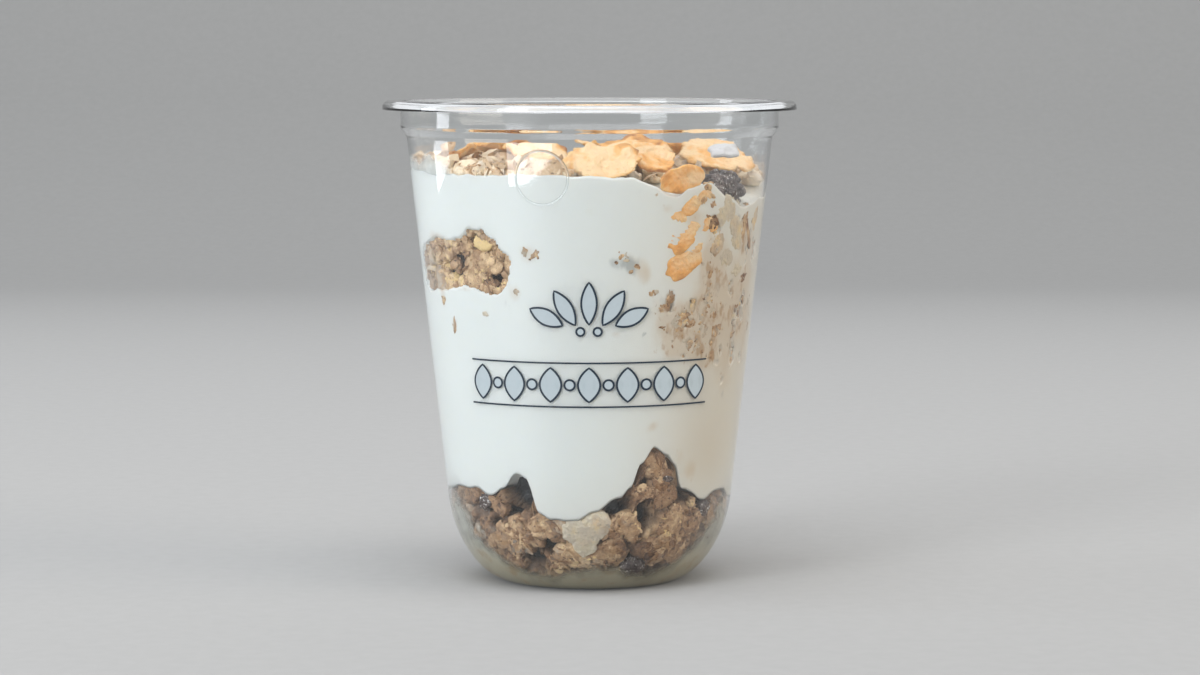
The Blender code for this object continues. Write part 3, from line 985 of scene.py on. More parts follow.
@dataclass
class Granola:
    """Granola pressed against the wall or heaped on the yogurt: clumps, oats and crumbs."""

    name: str
    cup: CupForm
    chance: np.random.Generator
    inset: float = 0.0004
    dark_depth: float = 0.0040
    piece_rough: float = 0.8
    nut_rough: float = 0.36
    wall_grain: float = 0.16 * MM
    clumps: Heap = field(default_factory=Heap)
    oats: Heap = field(default_factory=Heap)

    def add_clumps(
        self, middles: Array, sizes: Array, toast: Array, milk: Array, level: int = 3,
        spins: Optional[Array] = None, rough: "Array | float" = 1.0,
    ) -> Scatter:
        """Adds rough clumps.

        Args:
            middles: Where each is.
            sizes: Half sizes of each along its own three axes.
            toast: How brown each is.
            milk: How much yogurt clings to each.
            level: How finely the ball that each starts from is divided.
            spins: Rotation matrices, or None for random ones.
            rough: How lumpy they are, 1 for granola, as one number or one for each.

        Returns:
            Places all over the clumps for oats and crumbs.
        """
        points, faces = ball(level)
        spins = turns(self.chance, len(middles)) if spins is None else spins
        shifts = self.chance.uniform(-1, 1, (len(middles), 1, 3))
        lumps = layered_noise(points[None] + shifts * 9, 0.75, 1, 3)
        knobs = np.abs(smooth_noise(points[None] + shifts * 5, 0.42, 2))
        grain = layered_noise(points[None] + shifts * 7, 0.30, 4, 2)
        rough = np.broadcast_to(rough, len(middles))[:, None]
        swell = 1.0 + rough * (0.32 * lumps - 0.30 * knobs + 0.09 * grain + 0.08)
        shape = points[None] * swell[..., None] * sizes[:, None]
        shape = np.einsum("kij,knj->kni", spins, shape) + middles[:, None]
        outward = shape - middles[:, None]
        outward /= np.linalg.norm(outward, axis=-1, keepdims=True)
        pressed = self.pressed(shape)
        # Painted shade: crevices between knobs and grains add to the shade painted for depth.
        painted_crevice_shade = fade(knobs, 0.25, 0.9) * 0.35 + fade(-grain, 0.25, 0.9) * 0.25
        sunk = np.clip(self.shade(pressed) + painted_crevice_shade * rough, 0.0, 1.0)
        tone = toast[:, None] + 0.35 * lumps
        self.clumps.add(pressed, faces, toast=tone, milk=milk[:, None], sunk=sunk)
        found = (shape, outward, tone, milk[:, None] + 0 * tone)
        return Scatter(*(values.reshape(-1, *values.shape[2:]) for values in found))

    def weaken_painted_shade(self, share: float) -> None:
        """Weakens the painted shade of the clumps added last."""
        self.clumps.tints["sunk"][-1] = self.clumps.tints["sunk"][-1] * share

    def add_pieces(self, pieces: Iterable[tuple]) -> list[Scatter]:
        """Adds single pieces that touch the wall, smooth where toast is below 0, as on nuts.

        Args:
            pieces: Each as angle in degrees, then height, half width and half height in
                millimetres, toast and milk.

        Returns:
            Places over each piece.
        """
        made, inset = [], self.inset
        for angle, height, wide, tall, toast, milk in pieces:
            self.inset = inset + self.chance.uniform(0.0, 0.45) * MM
            thick = min(wide, tall) * 0.8 * MM
            radius = self.cup.inner_radius(np.array(height * MM)) - thick * 0.95
            middle = around(np.array([angle]), radius, height * MM)
            side, out = (around(np.array(angle + more), 1.0, 0.0) for more in (90.0, 0.0))
            spin = np.stack([side, (0, 0, 1), out], axis=-1)[None]
            size = np.array([[wide * MM, tall * MM, thick]])
            tints = np.array([toast]), np.array([milk])
            rough = self.nut_rough if toast < 0 else self.piece_rough
            made.append(self.add_clumps(middle, size, *tints, 4, spin, rough))
        self.inset = inset
        return made

    def pressed(self, points: Array) -> Array:
        """Flattens points against the wall, with fine bumps left in them.

        Args:
            points: Places in metres.

        Returns:
            The moved places.
        """
        placed = self.cup.press(points, self.inset)
        grain = np.abs(layered_noise(placed, 1.1 * MM, 77, 2)) * self.wall_grain
        level = placed * (1.0, 1.0, 0.0)
        out = level / np.maximum(np.linalg.norm(level, axis=-1, keepdims=True), 1e-6)
        return placed - out * grain[..., None]

    def shade(self, points: Array) -> Array:
        """How much painted shade points get for lying deep between their neighbours, from 0 to 1.
        """
        return fade(self.depth(points), 0.35 * MM, self.dark_depth) * 0.92

    def depth(self, points: Array) -> Array:
        """How far points are in from the wall's inner face."""
        out, wall, _ = self.cup.reach(points, self.cup.wall)
        return wall - out

    def add_oats(self, places: Scatter, kind: OatKind, tilt: float, lift: float = 0.0) -> None:
        """Adds oat flakes or slivers that lie on places.

        Args:
            places: Where they go and which way they face.
            kind: Which of them.
            tilt: How far they lean out of their places, in radians at most.
            lift: How far they stand off, in metres.
        """
        points, faces = leaf(2, 9)
        count = len(places.middle)
        length, width, thick = kind.value
        grow = self.chance.uniform(0.75, 1.2, (count, 1))
        u, v, side = points.T
        phase = self.chance.uniform(0, 6, (count, 1))
        ragged = 1.0 + 0.10 * np.sin(3 * np.arctan2(v, u)[None] + phase)
        across, along = u * length / 2 * ragged, v * width / 2 * ragged
        bend = self.chance.uniform(-0.12, 0.22, (count, 1)) * (u * u)[None] * length
        crease = -0.18 * thick * np.exp(-((v * 3) ** 2)) * (side > 0)
        level = bend + side * thick / 2 * (1 - 0.5 * (u * u + v * v)) + crease
        flat = np.stack([across, along, level], axis=-1) * grow[..., None]
        lean = places.normal + self.chance.normal(scale=tilt, size=(count, 3))
        spin = facing(lean, self.chance.uniform(0, math.tau, count))
        middles = places.middle + places.normal * lift
        placed = self.pressed(np.einsum("kij,knj->kni", spin, flat) + middles[:, None])
        rim = (u * u + v * v)[None]
        tone = self.chance.uniform(-0.3, 0.25, (count, 1)) + 0.18 * rim
        self.strew(placed, faces, places, tone)

    def strew(self, placed: Array, faces: Array, places: Scatter, tone: Array) -> None:
        """Adds small bits, tinted like the places they lie on and browner by tone."""
        toast, milk = places.toast[:, None] + tone, places.milk[:, None]
        # The sunk tint is painted shade for depth.
        self.oats.add(placed, faces, toast=toast, milk=milk, sunk=self.shade(placed))

    def add_crumbs(self, places: Scatter, small: float, large: float, level: int = 1) -> None:
        """Adds crumbs between two half sizes in metres, half sunk in their places.

        Args:
            places: Where they go.
            small: The least half size.
            large: The greatest half size.
            level: How finely each is divided.
        """
        points, faces = ball(level)
        count = len(places.middle)
        sizes = self.chance.uniform(small, large, (count, 1, 1))
        sizes = sizes * self.chance.uniform(0.6, 1.1, (count, 1, 3))
        rough = 1.0 + self.chance.uniform(-0.28, 0.28, (count, len(points), 1))
        shape = np.einsum("kij,knj->kni", turns(self.chance, count), points[None] * sizes * rough)
        placed = self.pressed(shape + places.middle[:, None])
        self.strew(placed, faces, places, self.chance.uniform(-0.35, 0.45, (count, 1)))

    def build(self, finish: bpy.types.Material, *nodes: str) -> None:
        """Makes the pieces, of which the clumps stand for the named solids."""
        dress(self.clumps.build(self.name + "_clumps", finish, 70), "granola", *nodes)
        dress(self.oats.build(self.name + "_oats", finish, 60), "granola")


def dress(piece: bpy.types.Object, slot: str, *nodes: str) -> None:
    """Hangs a piece on the part's body, hides the solids it stands for and logs its faces.

    Args:
        piece: The piece, which rides the part's only body.
        slot: Not used.
        nodes: The solids it stands for.
    """
    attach(piece, "root")
    if nodes:
        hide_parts(*nodes)
    LOG.info("%s: %d faces", piece.name, len(piece.data.polygons))


def halved(quads: Array) -> Array:
    """The two triangles of each quad, first all the first ones."""
    quads = quads.reshape(-1, 4)
    return np.concatenate([quads[:, [0, 1, 2]], quads[:, [0, 2, 3]]])


def lathe(grid: Array) -> tuple[Array, Array]:
    """A closed body from rings of points.

    Args:
        grid: Points as (rings, points of a ring, 3), from the lowest inner ring outwards and up.

    Returns:
        All points, with one added in the middle of either end, and the triangles.
    """
    rows, columns = grid.shape[:2]
    ends = [(0.0, 0.0, ring[:, 2].mean()) for ring in (grid[0], grid[-1])]
    points = np.vstack([ends[:1], grid.reshape(-1, 3), ends[1:]])
    i = np.arange(columns)
    j = (i + 1) % columns
    base = 1 + np.arange(rows - 1)[:, None] * columns
    quads = np.stack([base + i, base + j, base + columns + j, base + columns + i], axis=-1)
    last = 1 + (rows - 1) * columns
    first_cap = np.stack([0 * i, 1 + j, 1 + i], axis=-1)
    last_cap = np.stack([0 * i + len(points) - 1, last + i, last + j], axis=-1)
    return points, np.concatenate([halved(quads), first_cap, last_cap])


@dataclass
class ClearCup:
    """The clear cup, turned smoothly from its profile."""

    form: CupForm
    sides: int = 192
    corner_steps: int = 4
    foot_rounding: float = 0.0012
    rim_rounding: float = 0.00045

    def rounded(self, outline: Line, radius: float) -> Line:
        """An outline of (radius, height) with each corner rounded off.

        Args:
            outline: The corners in order; the first and last stay as they are.
            radius: How far from a corner its rounding starts.

        Returns:
            The new points.
        """
        made = [outline[0]]
        for before, corner, after in zip(outline, outline[1:], outline[2:]):
            corner = np.array(corner)
            start, end = (
                corner + way * min(0.45, radius / np.linalg.norm(way))
                for way in (before - corner, after - corner)
            )
            for t in np.linspace(0, 1, self.corner_steps + 1):
                point = start * (1 - t) ** 2 + corner * 2 * t * (1 - t) + end * t * t
                made.append(tuple(point))
        return made + [outline[-1]]

    def profile(self) -> Line:
        """The closed profile from the foot's middle outside to its middle inside.

        Returns:
            Radius and height of each point.
        """
        f = self.form
        neck = f.neck_radius - f.wall
        under = f.height - f.rim_thickness
        lip = f.height - f.rim_drop
        outer, inner = f.wall_line(0.0), f.wall_line(f.wall)[::-1]
        rim = [
            tuple(outer[-1]),
            (f.neck_radius, f.step_top),
            (f.neck_radius, under),
            (f.rim_flat_radius - f.lip_thickness / 2, under),
            (f.rim_radius - f.lip_thickness, lip),
            (f.rim_radius, lip),
            (f.rim_radius - f.lip_thickness / 3, f.height - f.rim_drop / 3),
            (f.rim_flat_radius, f.height),
            (neck, f.height),
            (neck, f.step_top + f.wall / 2),
            tuple(inner[0]),
        ]
        under_foot = [
            (0.0, f.foot_dome), (f.dome_radius, f.foot_dome), (f.foot_flat_inner, 0.0),
            tuple(outer[0]),
        ]
        floor = [(r, z + f.wall) for r, z in reversed(under_foot[:-1])]
        rim = [tuple(outer[-2])] + rim + [tuple(inner[1])]
        return (
            self.rounded(under_foot, self.foot_rounding)
            + [tuple(p) for p in outer[1:-1]]
            + self.rounded(rim, self.rim_rounding)[1:-1]
            + [tuple(p) for p in inner[1:-1]]
            + self.rounded([tuple(inner[-1])] + floor, self.foot_rounding)
        )

    def build(self) -> None:
        """Makes the cup."""
        profile = np.array(self.profile())
        points, faces = lathe(around(all_round(self.sides), profile[1:-1, :1], profile[1:-1, 1:]))
        heap = Heap()
        heap.add(points, faces)
        dress(heap.build("clear_cup", ClearPlastic().material(), 50), "cup", "cup")


@dataclass(frozen=True)
class Patch:
    """A soft-edged patch on the wall, leaning like a streak: degrees and millimetres."""

    angle: float
    height: float
    half_width: float
    half_height: float
    strength: float = 1.0
    lean: float = 0.0
    kind: StainKind = StainKind.HAZE

    def cover(self, angle: Array, height: Array) -> Array:
        """How strongly the patch covers places on the wall.

        Args:
            angle: The places' angles in degrees.
            height: Their heights in metres.

        Returns:
            Values from 0 to the patch's strength.
        """
        aside = np.radians(apart(angle, self.angle)) * MIDDLE_WALL
        up = height / MM - self.height
        turn = math.radians(self.lean)
        x = aside * math.cos(turn) + up * math.sin(turn)
        y = up * math.cos(turn) - aside * math.sin(turn)
        return self.strength * np.exp(-((x / self.half_width) ** 2) - (y / self.half_height) ** 2)


def stains_of(kind: StainKind, *rows: tuple) -> tuple[Patch, ...]:
    """Stains of one kind from rows of angle, height, half width, half height, strength, lean."""
    return tuple(Patch(*row, kind=kind) for row in rows)


def total_cover(
    patches: Iterable[Patch], angle: Array, height: Array, kind: StainKind = StainKind.HAZE
) -> Array:
    """How strongly all patches of one kind together cover places on the wall."""
    return sum(patch.cover(angle, height) for patch in patches if patch.kind is kind)


@dataclass
class Yogurt:
    """The yogurt: a finely turned body that reaches just into the wall, hollow for clusters."""

    food: FoodForm
    pockets: list["Pocket"]
    columns: int = 480
    wall_rows: int = 130
    inset: float = 0.0004
    floor_rings: tuple = (0.12, 0.3, 0.5, 0.68, 0.82, 0.92, 0.975)
    top_rings: tuple = (0.985, 0.95, 0.88, 0.78, 0.66, 0.52, 0.36, 0.18)
    stains: tuple = (
        *stains_of(
            StainKind.HAZE,
            (-19.2, 77.3, 3.2, 2.4, 0.62), (-24.8, 68.6, 1.8, 2.2, 0.55),
            (-37.8, 63.3, 1.6, 1.4, 0.45), (-60.0, 65.8, 1.8, 2.2, 0.60),
            (-54.3, 60.4, 2.0, 2.8, 0.60), (-60.0, 79.8, 5.5, 1.6, 0.60),
            (-60.0, 68.2, 6.0, 1.0, 0.50), (-47.0, 68.6, 4.0, 0.9, 0.50),
            (-28.0, 72.0, 1.2, 4.0, 0.40), (-1.2, 86.4, 2.0, 1.6, 0.45),
            (13.0, 75.0, 4.0, 2.6, 0.35), (19.0, 72.6, 1.8, 2.6, 0.60),
            (9.1, 59.5, 1.4, 0.9, 0.45), (29.0, 62.5, 6.5, 4.6, 0.80),
            (33.0, 56.5, 5.6, 4.6, 0.78), (40.0, 61.5, 5.0, 6.0, 0.75),
            (47.5, 66.0, 5.0, 8.5, 0.95), (45.5, 54.5, 4.0, 5.0, 0.75),
            (60.0, 64.0, 6.0, 9.0, 0.75), (72.0, 60.0, 6.0, 12.0, 0.60),
            (57.0, 50.0, 3.5, 7.0, 0.60, 8), (42.5, 75.5, 2.6, 5.0, 0.70),
            (50.0, 77.0, 4.0, 5.0, 0.50), (64.0, 79.0, 5.0, 8.0, 0.65),
            (36.0, 84.5, 4.0, 3.4, 0.65), (25.0, 87.0, 2.4, 1.6, 0.50),
            (24.3, 38.5, 1.9, 1.5, 0.60, 20), (35.0, 41.5, 0.8, 0.8, 0.40),
            (36.5, 31.5, 2.0, 3.4, 0.62), (43.0, 27.5, 3.0, 2.4, 0.60),
            (130, 69.0, 7.0, 6.0, 0.75), (168, 80.0, 6.0, 4.0, 0.70),
            (205, 60.0, 8.0, 5.0, 0.80, 30), (238, 77.0, 6.0, 5.0, 0.60),
            (150, 42.0, 5.0, 5.0, 0.60),
        ),
        *stains_of(
            StainKind.FLECK,
            (-21.0, 77.0, 0.9, 1.4, 0.45), (-17.0, 77.2, 1.1, 1.1, 0.50),
            (-25.0, 69.8, 0.9, 0.8, 0.45), (-55.0, 60.6, 0.7, 1.8, 0.45),
            (10.5, 76.9, 0.9, 1.1, 0.75), (15.8, 74.3, 0.9, 1.0, 0.80),
            (21.4, 68.2, 1.2, 1.2, 0.70), (28.0, 67.0, 1.7, 1.8, 0.80),
            (25.6, 64.6, 2.4, 1.2, 0.70, -15), (33.3, 62.9, 1.6, 1.5, 0.70),
            (25.7, 60.7, 1.3, 0.4, 0.90), (23.9, 55.3, 0.8, 1.2, 0.60),
            (34.1, 54.3, 0.8, 1.3, 0.65), (26.8, 58.3, 0.6, 1.6, 0.55),
            (30.8, 57.7, 0.6, 1.8, 0.55), (48.4, 53.7, 1.9, 1.8, 0.85),
            (46.2, 51.4, 1.2, 1.1, 0.60), (55.6, 49.3, 1.1, 1.6, 0.70),
            (21.3, 90.0, 0.5, 0.4, 1.00), (222, 44.0, 2.0, 2.0, 0.70),
        ),
        *stains_of(
            StainKind.SHADOW,
            (8.6, 75.3, 1.9, 1.5, 0.62), (13.7, 74.3, 2.0, 1.9, 0.72),
            (27.5, 65.6, 3.4, 2.6, 0.45), (19.3, 59.4, 0.8, 0.5, 0.70, 25),
            (61.7, 51.5, 1.4, 2.4, 0.50), (58.1, 44.1, 0.9, 2.0, 0.45),
            (50.0, 69.0, 4.0, 4.0, 0.35), (15.2, 90.8, 2.0, 1.2, 0.35),
            (184, 58.0, 3.0, 2.0, 0.50),
        ),
    )
    # Creamier, darker patches, strongest on the right: the yogurt's own cream tint together with
    # painted shade.
    warmth: tuple = (
        Patch(85, 60, 38, 45, 0.75),
        Patch(48, 52, 16, 30, 0.25),
        Patch(50, 30, 14, 10, 0.35),
        Patch(-10, 20, 30, 7, 0.15),
    )

    def wall(self, angle: Array, share: Array) -> Array:
        """Points on the yogurt's side, hollowed by the pockets.

        Args:
            angle: Their angles in degrees.
            share: How far up they are, 0 at the lower edge and 1 at the upper one.

        Returns:
            The points.
        """
        low = self.food.base_height(angle, 1.0)
        high = self.food.top_height(angle, 1.0) + 0.3 * MM
        height = low + (high - low) * share
        radius = self.food.cup.radius(height, self.inset)
        depth = sum(pocket.depth_at(angle, height) for pocket in self.pockets)
        return around(angle, radius - depth, height)

    def ring(self, angle: Array, share: float, height: Array) -> Array:
        """Points on the yogurt's floor or top, at a share of the way out to the wall."""
        return around(angle, self.food.cup.radius(height, self.inset) * share, height)

    def build(self) -> None:
        """Makes the yogurt."""
        angles, rows = all_round(self.columns), []
        for share in self.floor_rings:
            height = self.food.base_height(angles, share) + 0.8 * MM * fade(share, 0.7, 0.97)
            rows.append(self.ring(angles, share, height))
        rows += [self.wall(angles, share) for share in np.linspace(0.0, 1.0, self.wall_rows)]
        for share in self.top_rings:
            rows.append(self.ring(angles, share, self.food.top_height(angles, share)))
        points, faces = lathe(np.stack(rows))
        angle, height = angle_of(points), points[:, 2]
        tints = {"warm": np.clip(total_cover(self.warmth, angle, height), 0, 1)}
        for kind in StainKind:
            tints[kind.value] = np.clip(total_cover(self.stains, angle, height, kind), 0, 1)
        heap = Heap()
        heap.add(points, faces, **tints)
        dress(heap.build("yogurt_body", YogurtFinish().material()), "yogurt", "yogurt")


@dataclass
class Pocket:
    """A hollow in the yogurt's side that a cluster of granola fills.

    The outline holds (angle in degrees, height in millimetres) in order. With a veil, in metres,
    yogurt closes parts of the hollow, the more of it the higher closed is.
    """

    outline: tuple
    depth: float = 0.0055
    edge: float = 0.0004
    seed: int = 0
    veil: float = 0.0
    closed: float = 0.6
    radius: float = MIDDLE_WALL * MM
    tries: int = 1500

    def inside(self, angle: Array, height: Array) -> Array:
        """How far places on the wall are inside the outline.

        Args:
            angle: The places' angles in degrees.
            height: Their heights in metres.

        Returns:
            The distance to the outline in metres, negative outside.
        """
        corners = np.array(self.outline, float)
        middle = corners[:, 0].mean()
        flat = [np.radians(corners[:, 0] - middle) * self.radius, corners[:, 1] * MM]
        flat = np.stack(flat, axis=-1)
        aside = np.radians(apart(angle, middle)) * self.radius
        wobble = around(angle, self.radius, height)
        x = aside + 0.5 * MM * smooth_noise(wobble, 2.5 * MM, self.seed)
        y = height + 0.5 * MM * smooth_noise(wobble, 2.5 * MM, self.seed + 1)
        nearest = np.full(x.shape, 1.0)
        inside = np.zeros(x.shape, bool)
        for a, b in zip(flat, np.roll(flat, -1, axis=0)):
            edge = b - a
            share = np.clip(((x - a[0]) * edge[0] + (y - a[1]) * edge[1]) / (edge @ edge), 0, 1)
            gap = np.hypot(x - a[0] - share * edge[0], y - a[1] - share * edge[1])
            nearest = np.minimum(nearest, gap)
            crosses = (a[1] > y) != (b[1] > y)
            slope = edge[0] / edge[1] if edge[1] else 0.0
            inside ^= crosses & (x < a[0] + (y - a[1]) * slope)
        return np.where(inside, nearest, -nearest)

    def depth_at(self, angle: Array, height: Array) -> Array:
        """How deep the hollow is at places on the wall; a veil of yogurt closes parts of it.

        Args:
            angle: Angles in degrees.
            height: Heights in metres.

        Returns:
            Depths in metres.
        """
        inside = self.inside(angle, height)
        if self.veil:
            places = around(angle, self.radius, height) * (1.0, 1.0, 0.55)
            pattern = layered_noise(places, 2.6 * MM, self.seed + 5, 3) - self.closed
            inside = np.minimum(inside, 2 * MM) + self.veil * pattern
        return self.depth * fade(inside, 0.0, self.edge * 3) ** 0.5

    def places(
        self, chance: np.random.Generator, spacing: float, margin: float
    ) -> tuple[Array, Array]:
        """Picks random places in the pocket.

        Args:
            chance: Where the random numbers come from.
            spacing: No two places are closer than this, in metres.
            margin: No place is closer to the outline than this, in metres.

        Returns:
            Angles in degrees and heights in metres.
        """
        corners = np.array(self.outline, float)
        low, high = corners.min(0), corners.max(0)
        chosen: Line = []
        for _ in range(self.tries):
            angle, height = chance.uniform(low[0], high[0]), chance.uniform(low[1], high[1]) * MM
            if self.inside(np.array([angle]), np.array([height]))[0] < margin:
                continue
            gaps = (
                math.hypot(math.radians(angle - other) * self.radius, height - level)
                for other, level in chosen
            )
            if all(gap > spacing for gap in gaps):
                chosen.append((angle, height))
        angles, heights = zip(*chosen)
        return np.array(angles), np.array(heights)


@dataclass
class WallCluster:
    """Granola that fills one pocket of the yogurt and is pressed against the wall."""

    name: str
    nodes: tuple
    pocket: Pocket
    cup: CupForm
    finish: bpy.types.Material
    seed: int
    milk: float = 0.35
    pieces: tuple = ()

    def backing(self, granola: Granola, chance: np.random.Generator) -> None:
        """Adds the bits deep in the pocket, with painted shade in the gaps and milky under a veil.

        Args:
            granola: What gathers them.
            chance: Where the random numbers come from.
        """
        veiled = bool(self.pocket.veil)
        angle, height = self.pocket.places(chance, 2.2 * MM, 0.5 * MM)
        half = chance.uniform(1.6 * MM, 2.2 * MM, len(angle))
        radius = self.cup.inner_radius(height) - (2.1 if veiled else 3.4) * MM
        sizes = half[:, None] * np.ones((1, 3))
        toast, milk = (np.full(len(half), v) for v in ((0.25, 0.8) if veiled else (0.9, 0.0)))
        granola.add_clumps(around(angle, radius, height), sizes, toast, milk)
        # Painted shade: open backing is darkened nearly to black, veiled backing barely.
        sunk = granola.clumps.tints["sunk"][-1]
        granola.clumps.tints["sunk"][-1] = sunk * 0.15 if veiled else np.maximum(sunk, 0.88)

    def rim(self, granola: Granola, chance: np.random.Generator) -> None:
        """Adds small bits all along the pocket's edge, so that yogurt meets granola there.

        Args:
            granola: What gathers them.
            chance: Where the random numbers come from.
        """
        angle, height = self.pocket.places(chance, 1.5 * MM, 0.1 * MM)
        near = self.pocket.inside(angle, height) < 1.5 * MM
        angle, height = angle[near], height[near]
        half = chance.uniform(1.0 * MM, 1.6 * MM, len(angle))
        radius = self.cup.inner_radius(height) - half * 0.9
        sizes = half[:, None] * chance.uniform(0.8, 1.2, (len(half), 3))
        toast, milk = chance.uniform(0.1, 0.4, len(half)), chance.uniform(0.1, 0.5, len(half))
        granola.add_clumps(around(angle, radius, height), sizes, toast, milk)

    def filling(
        self, granola: Granola, chance: np.random.Generator
    ) -> tuple[list[Scatter], int]:
        """Fills the pocket with random upright clumps, for a cluster without pieces of its own.

        Args:
            granola: What gathers them.
            chance: Where the random numbers come from.

        Returns:
            Places over them, and how many there are.
        """
        angle, height = self.pocket.places(chance, 2.3 * MM, 0.3 * MM)
        count = len(angle)
        half = chance.uniform(1.3 * MM, 2.5 * MM, count)
        radius = self.cup.inner_radius(height) - half * chance.uniform(0.6, 0.95, count)
        sizes = half[:, None] * chance.uniform(0.75, 1.15, (count, 3)) * (0.9, 0.9, 1.3)
        spins = np.repeat(np.eye(3)[None], count, axis=0)
        toast = chance.uniform(-0.1, 0.4, count)
        milk = chance.uniform(0.3, 1.0, count) * self.milk
        places = around(angle, radius, height)
        spots = granola.add_clumps(places, sizes, toast, milk, spins=spins)
        granola.weaken_painted_shade(0.4)
        return [spots], count

    def build(self) -> None:
        """Makes the cluster's pieces."""
        chance = np.random.default_rng(self.seed)
        granola = Granola(self.name, self.cup, chance, inset=0.00042)
        self.backing(granola, chance)
        if self.pieces:
            spots, size = granola.add_pieces(self.pieces), len(self.pieces)
            self.rim(granola, chance)
            # The painted shade of the pieces and rim bits is weakened.
            sunk = granola.clumps.tints["sunk"]
            sunk[1:] = [values * 0.6 for values in sunk[1:]]
        else:
            spots, size = self.filling(granola, chance)
        near = Scatter.joined(spots)
        near = near.kept(granola.depth(near.middle) < 1.6 * MM)
        granola.add_oats(near.some(chance, size // 3), OatKind.FLAKE, 0.35)
        granola.add_oats(near.some(chance, size), OatKind.BROKEN, 0.5)
        crumbs = size * (16 if self.pieces else 20)
        granola.add_crumbs(near.some(chance, crumbs), 0.15 * MM, 0.55 * MM)
        granola.build(self.finish, *self.nodes)


@dataclass(frozen=True)
class Cluster:
    """An oval patch of the wall where granola holds together: degrees and millimetres."""

    angle: float
    height: float
    half_width: float
    half_height: float
    toast: float
    milk: float
    count: int
    rough: float = 1.0

    def places(self, chance: np.random.Generator) -> tuple[Array, Array]:
        """Random angles in degrees and heights in metres, spread evenly over the patch.

        Args:
            chance: Where the random numbers come from.

        Returns:
            The angles and the heights.
        """
        reach, turn = np.sqrt(chance.random(self.count)), chance.random(self.count) * math.tau
        height = self.height + reach * np.sin(turn) * self.half_height
        aside = reach * np.cos(turn) * self.half_width
        return self.angle + np.degrees(aside / LOW_WALL), height * MM


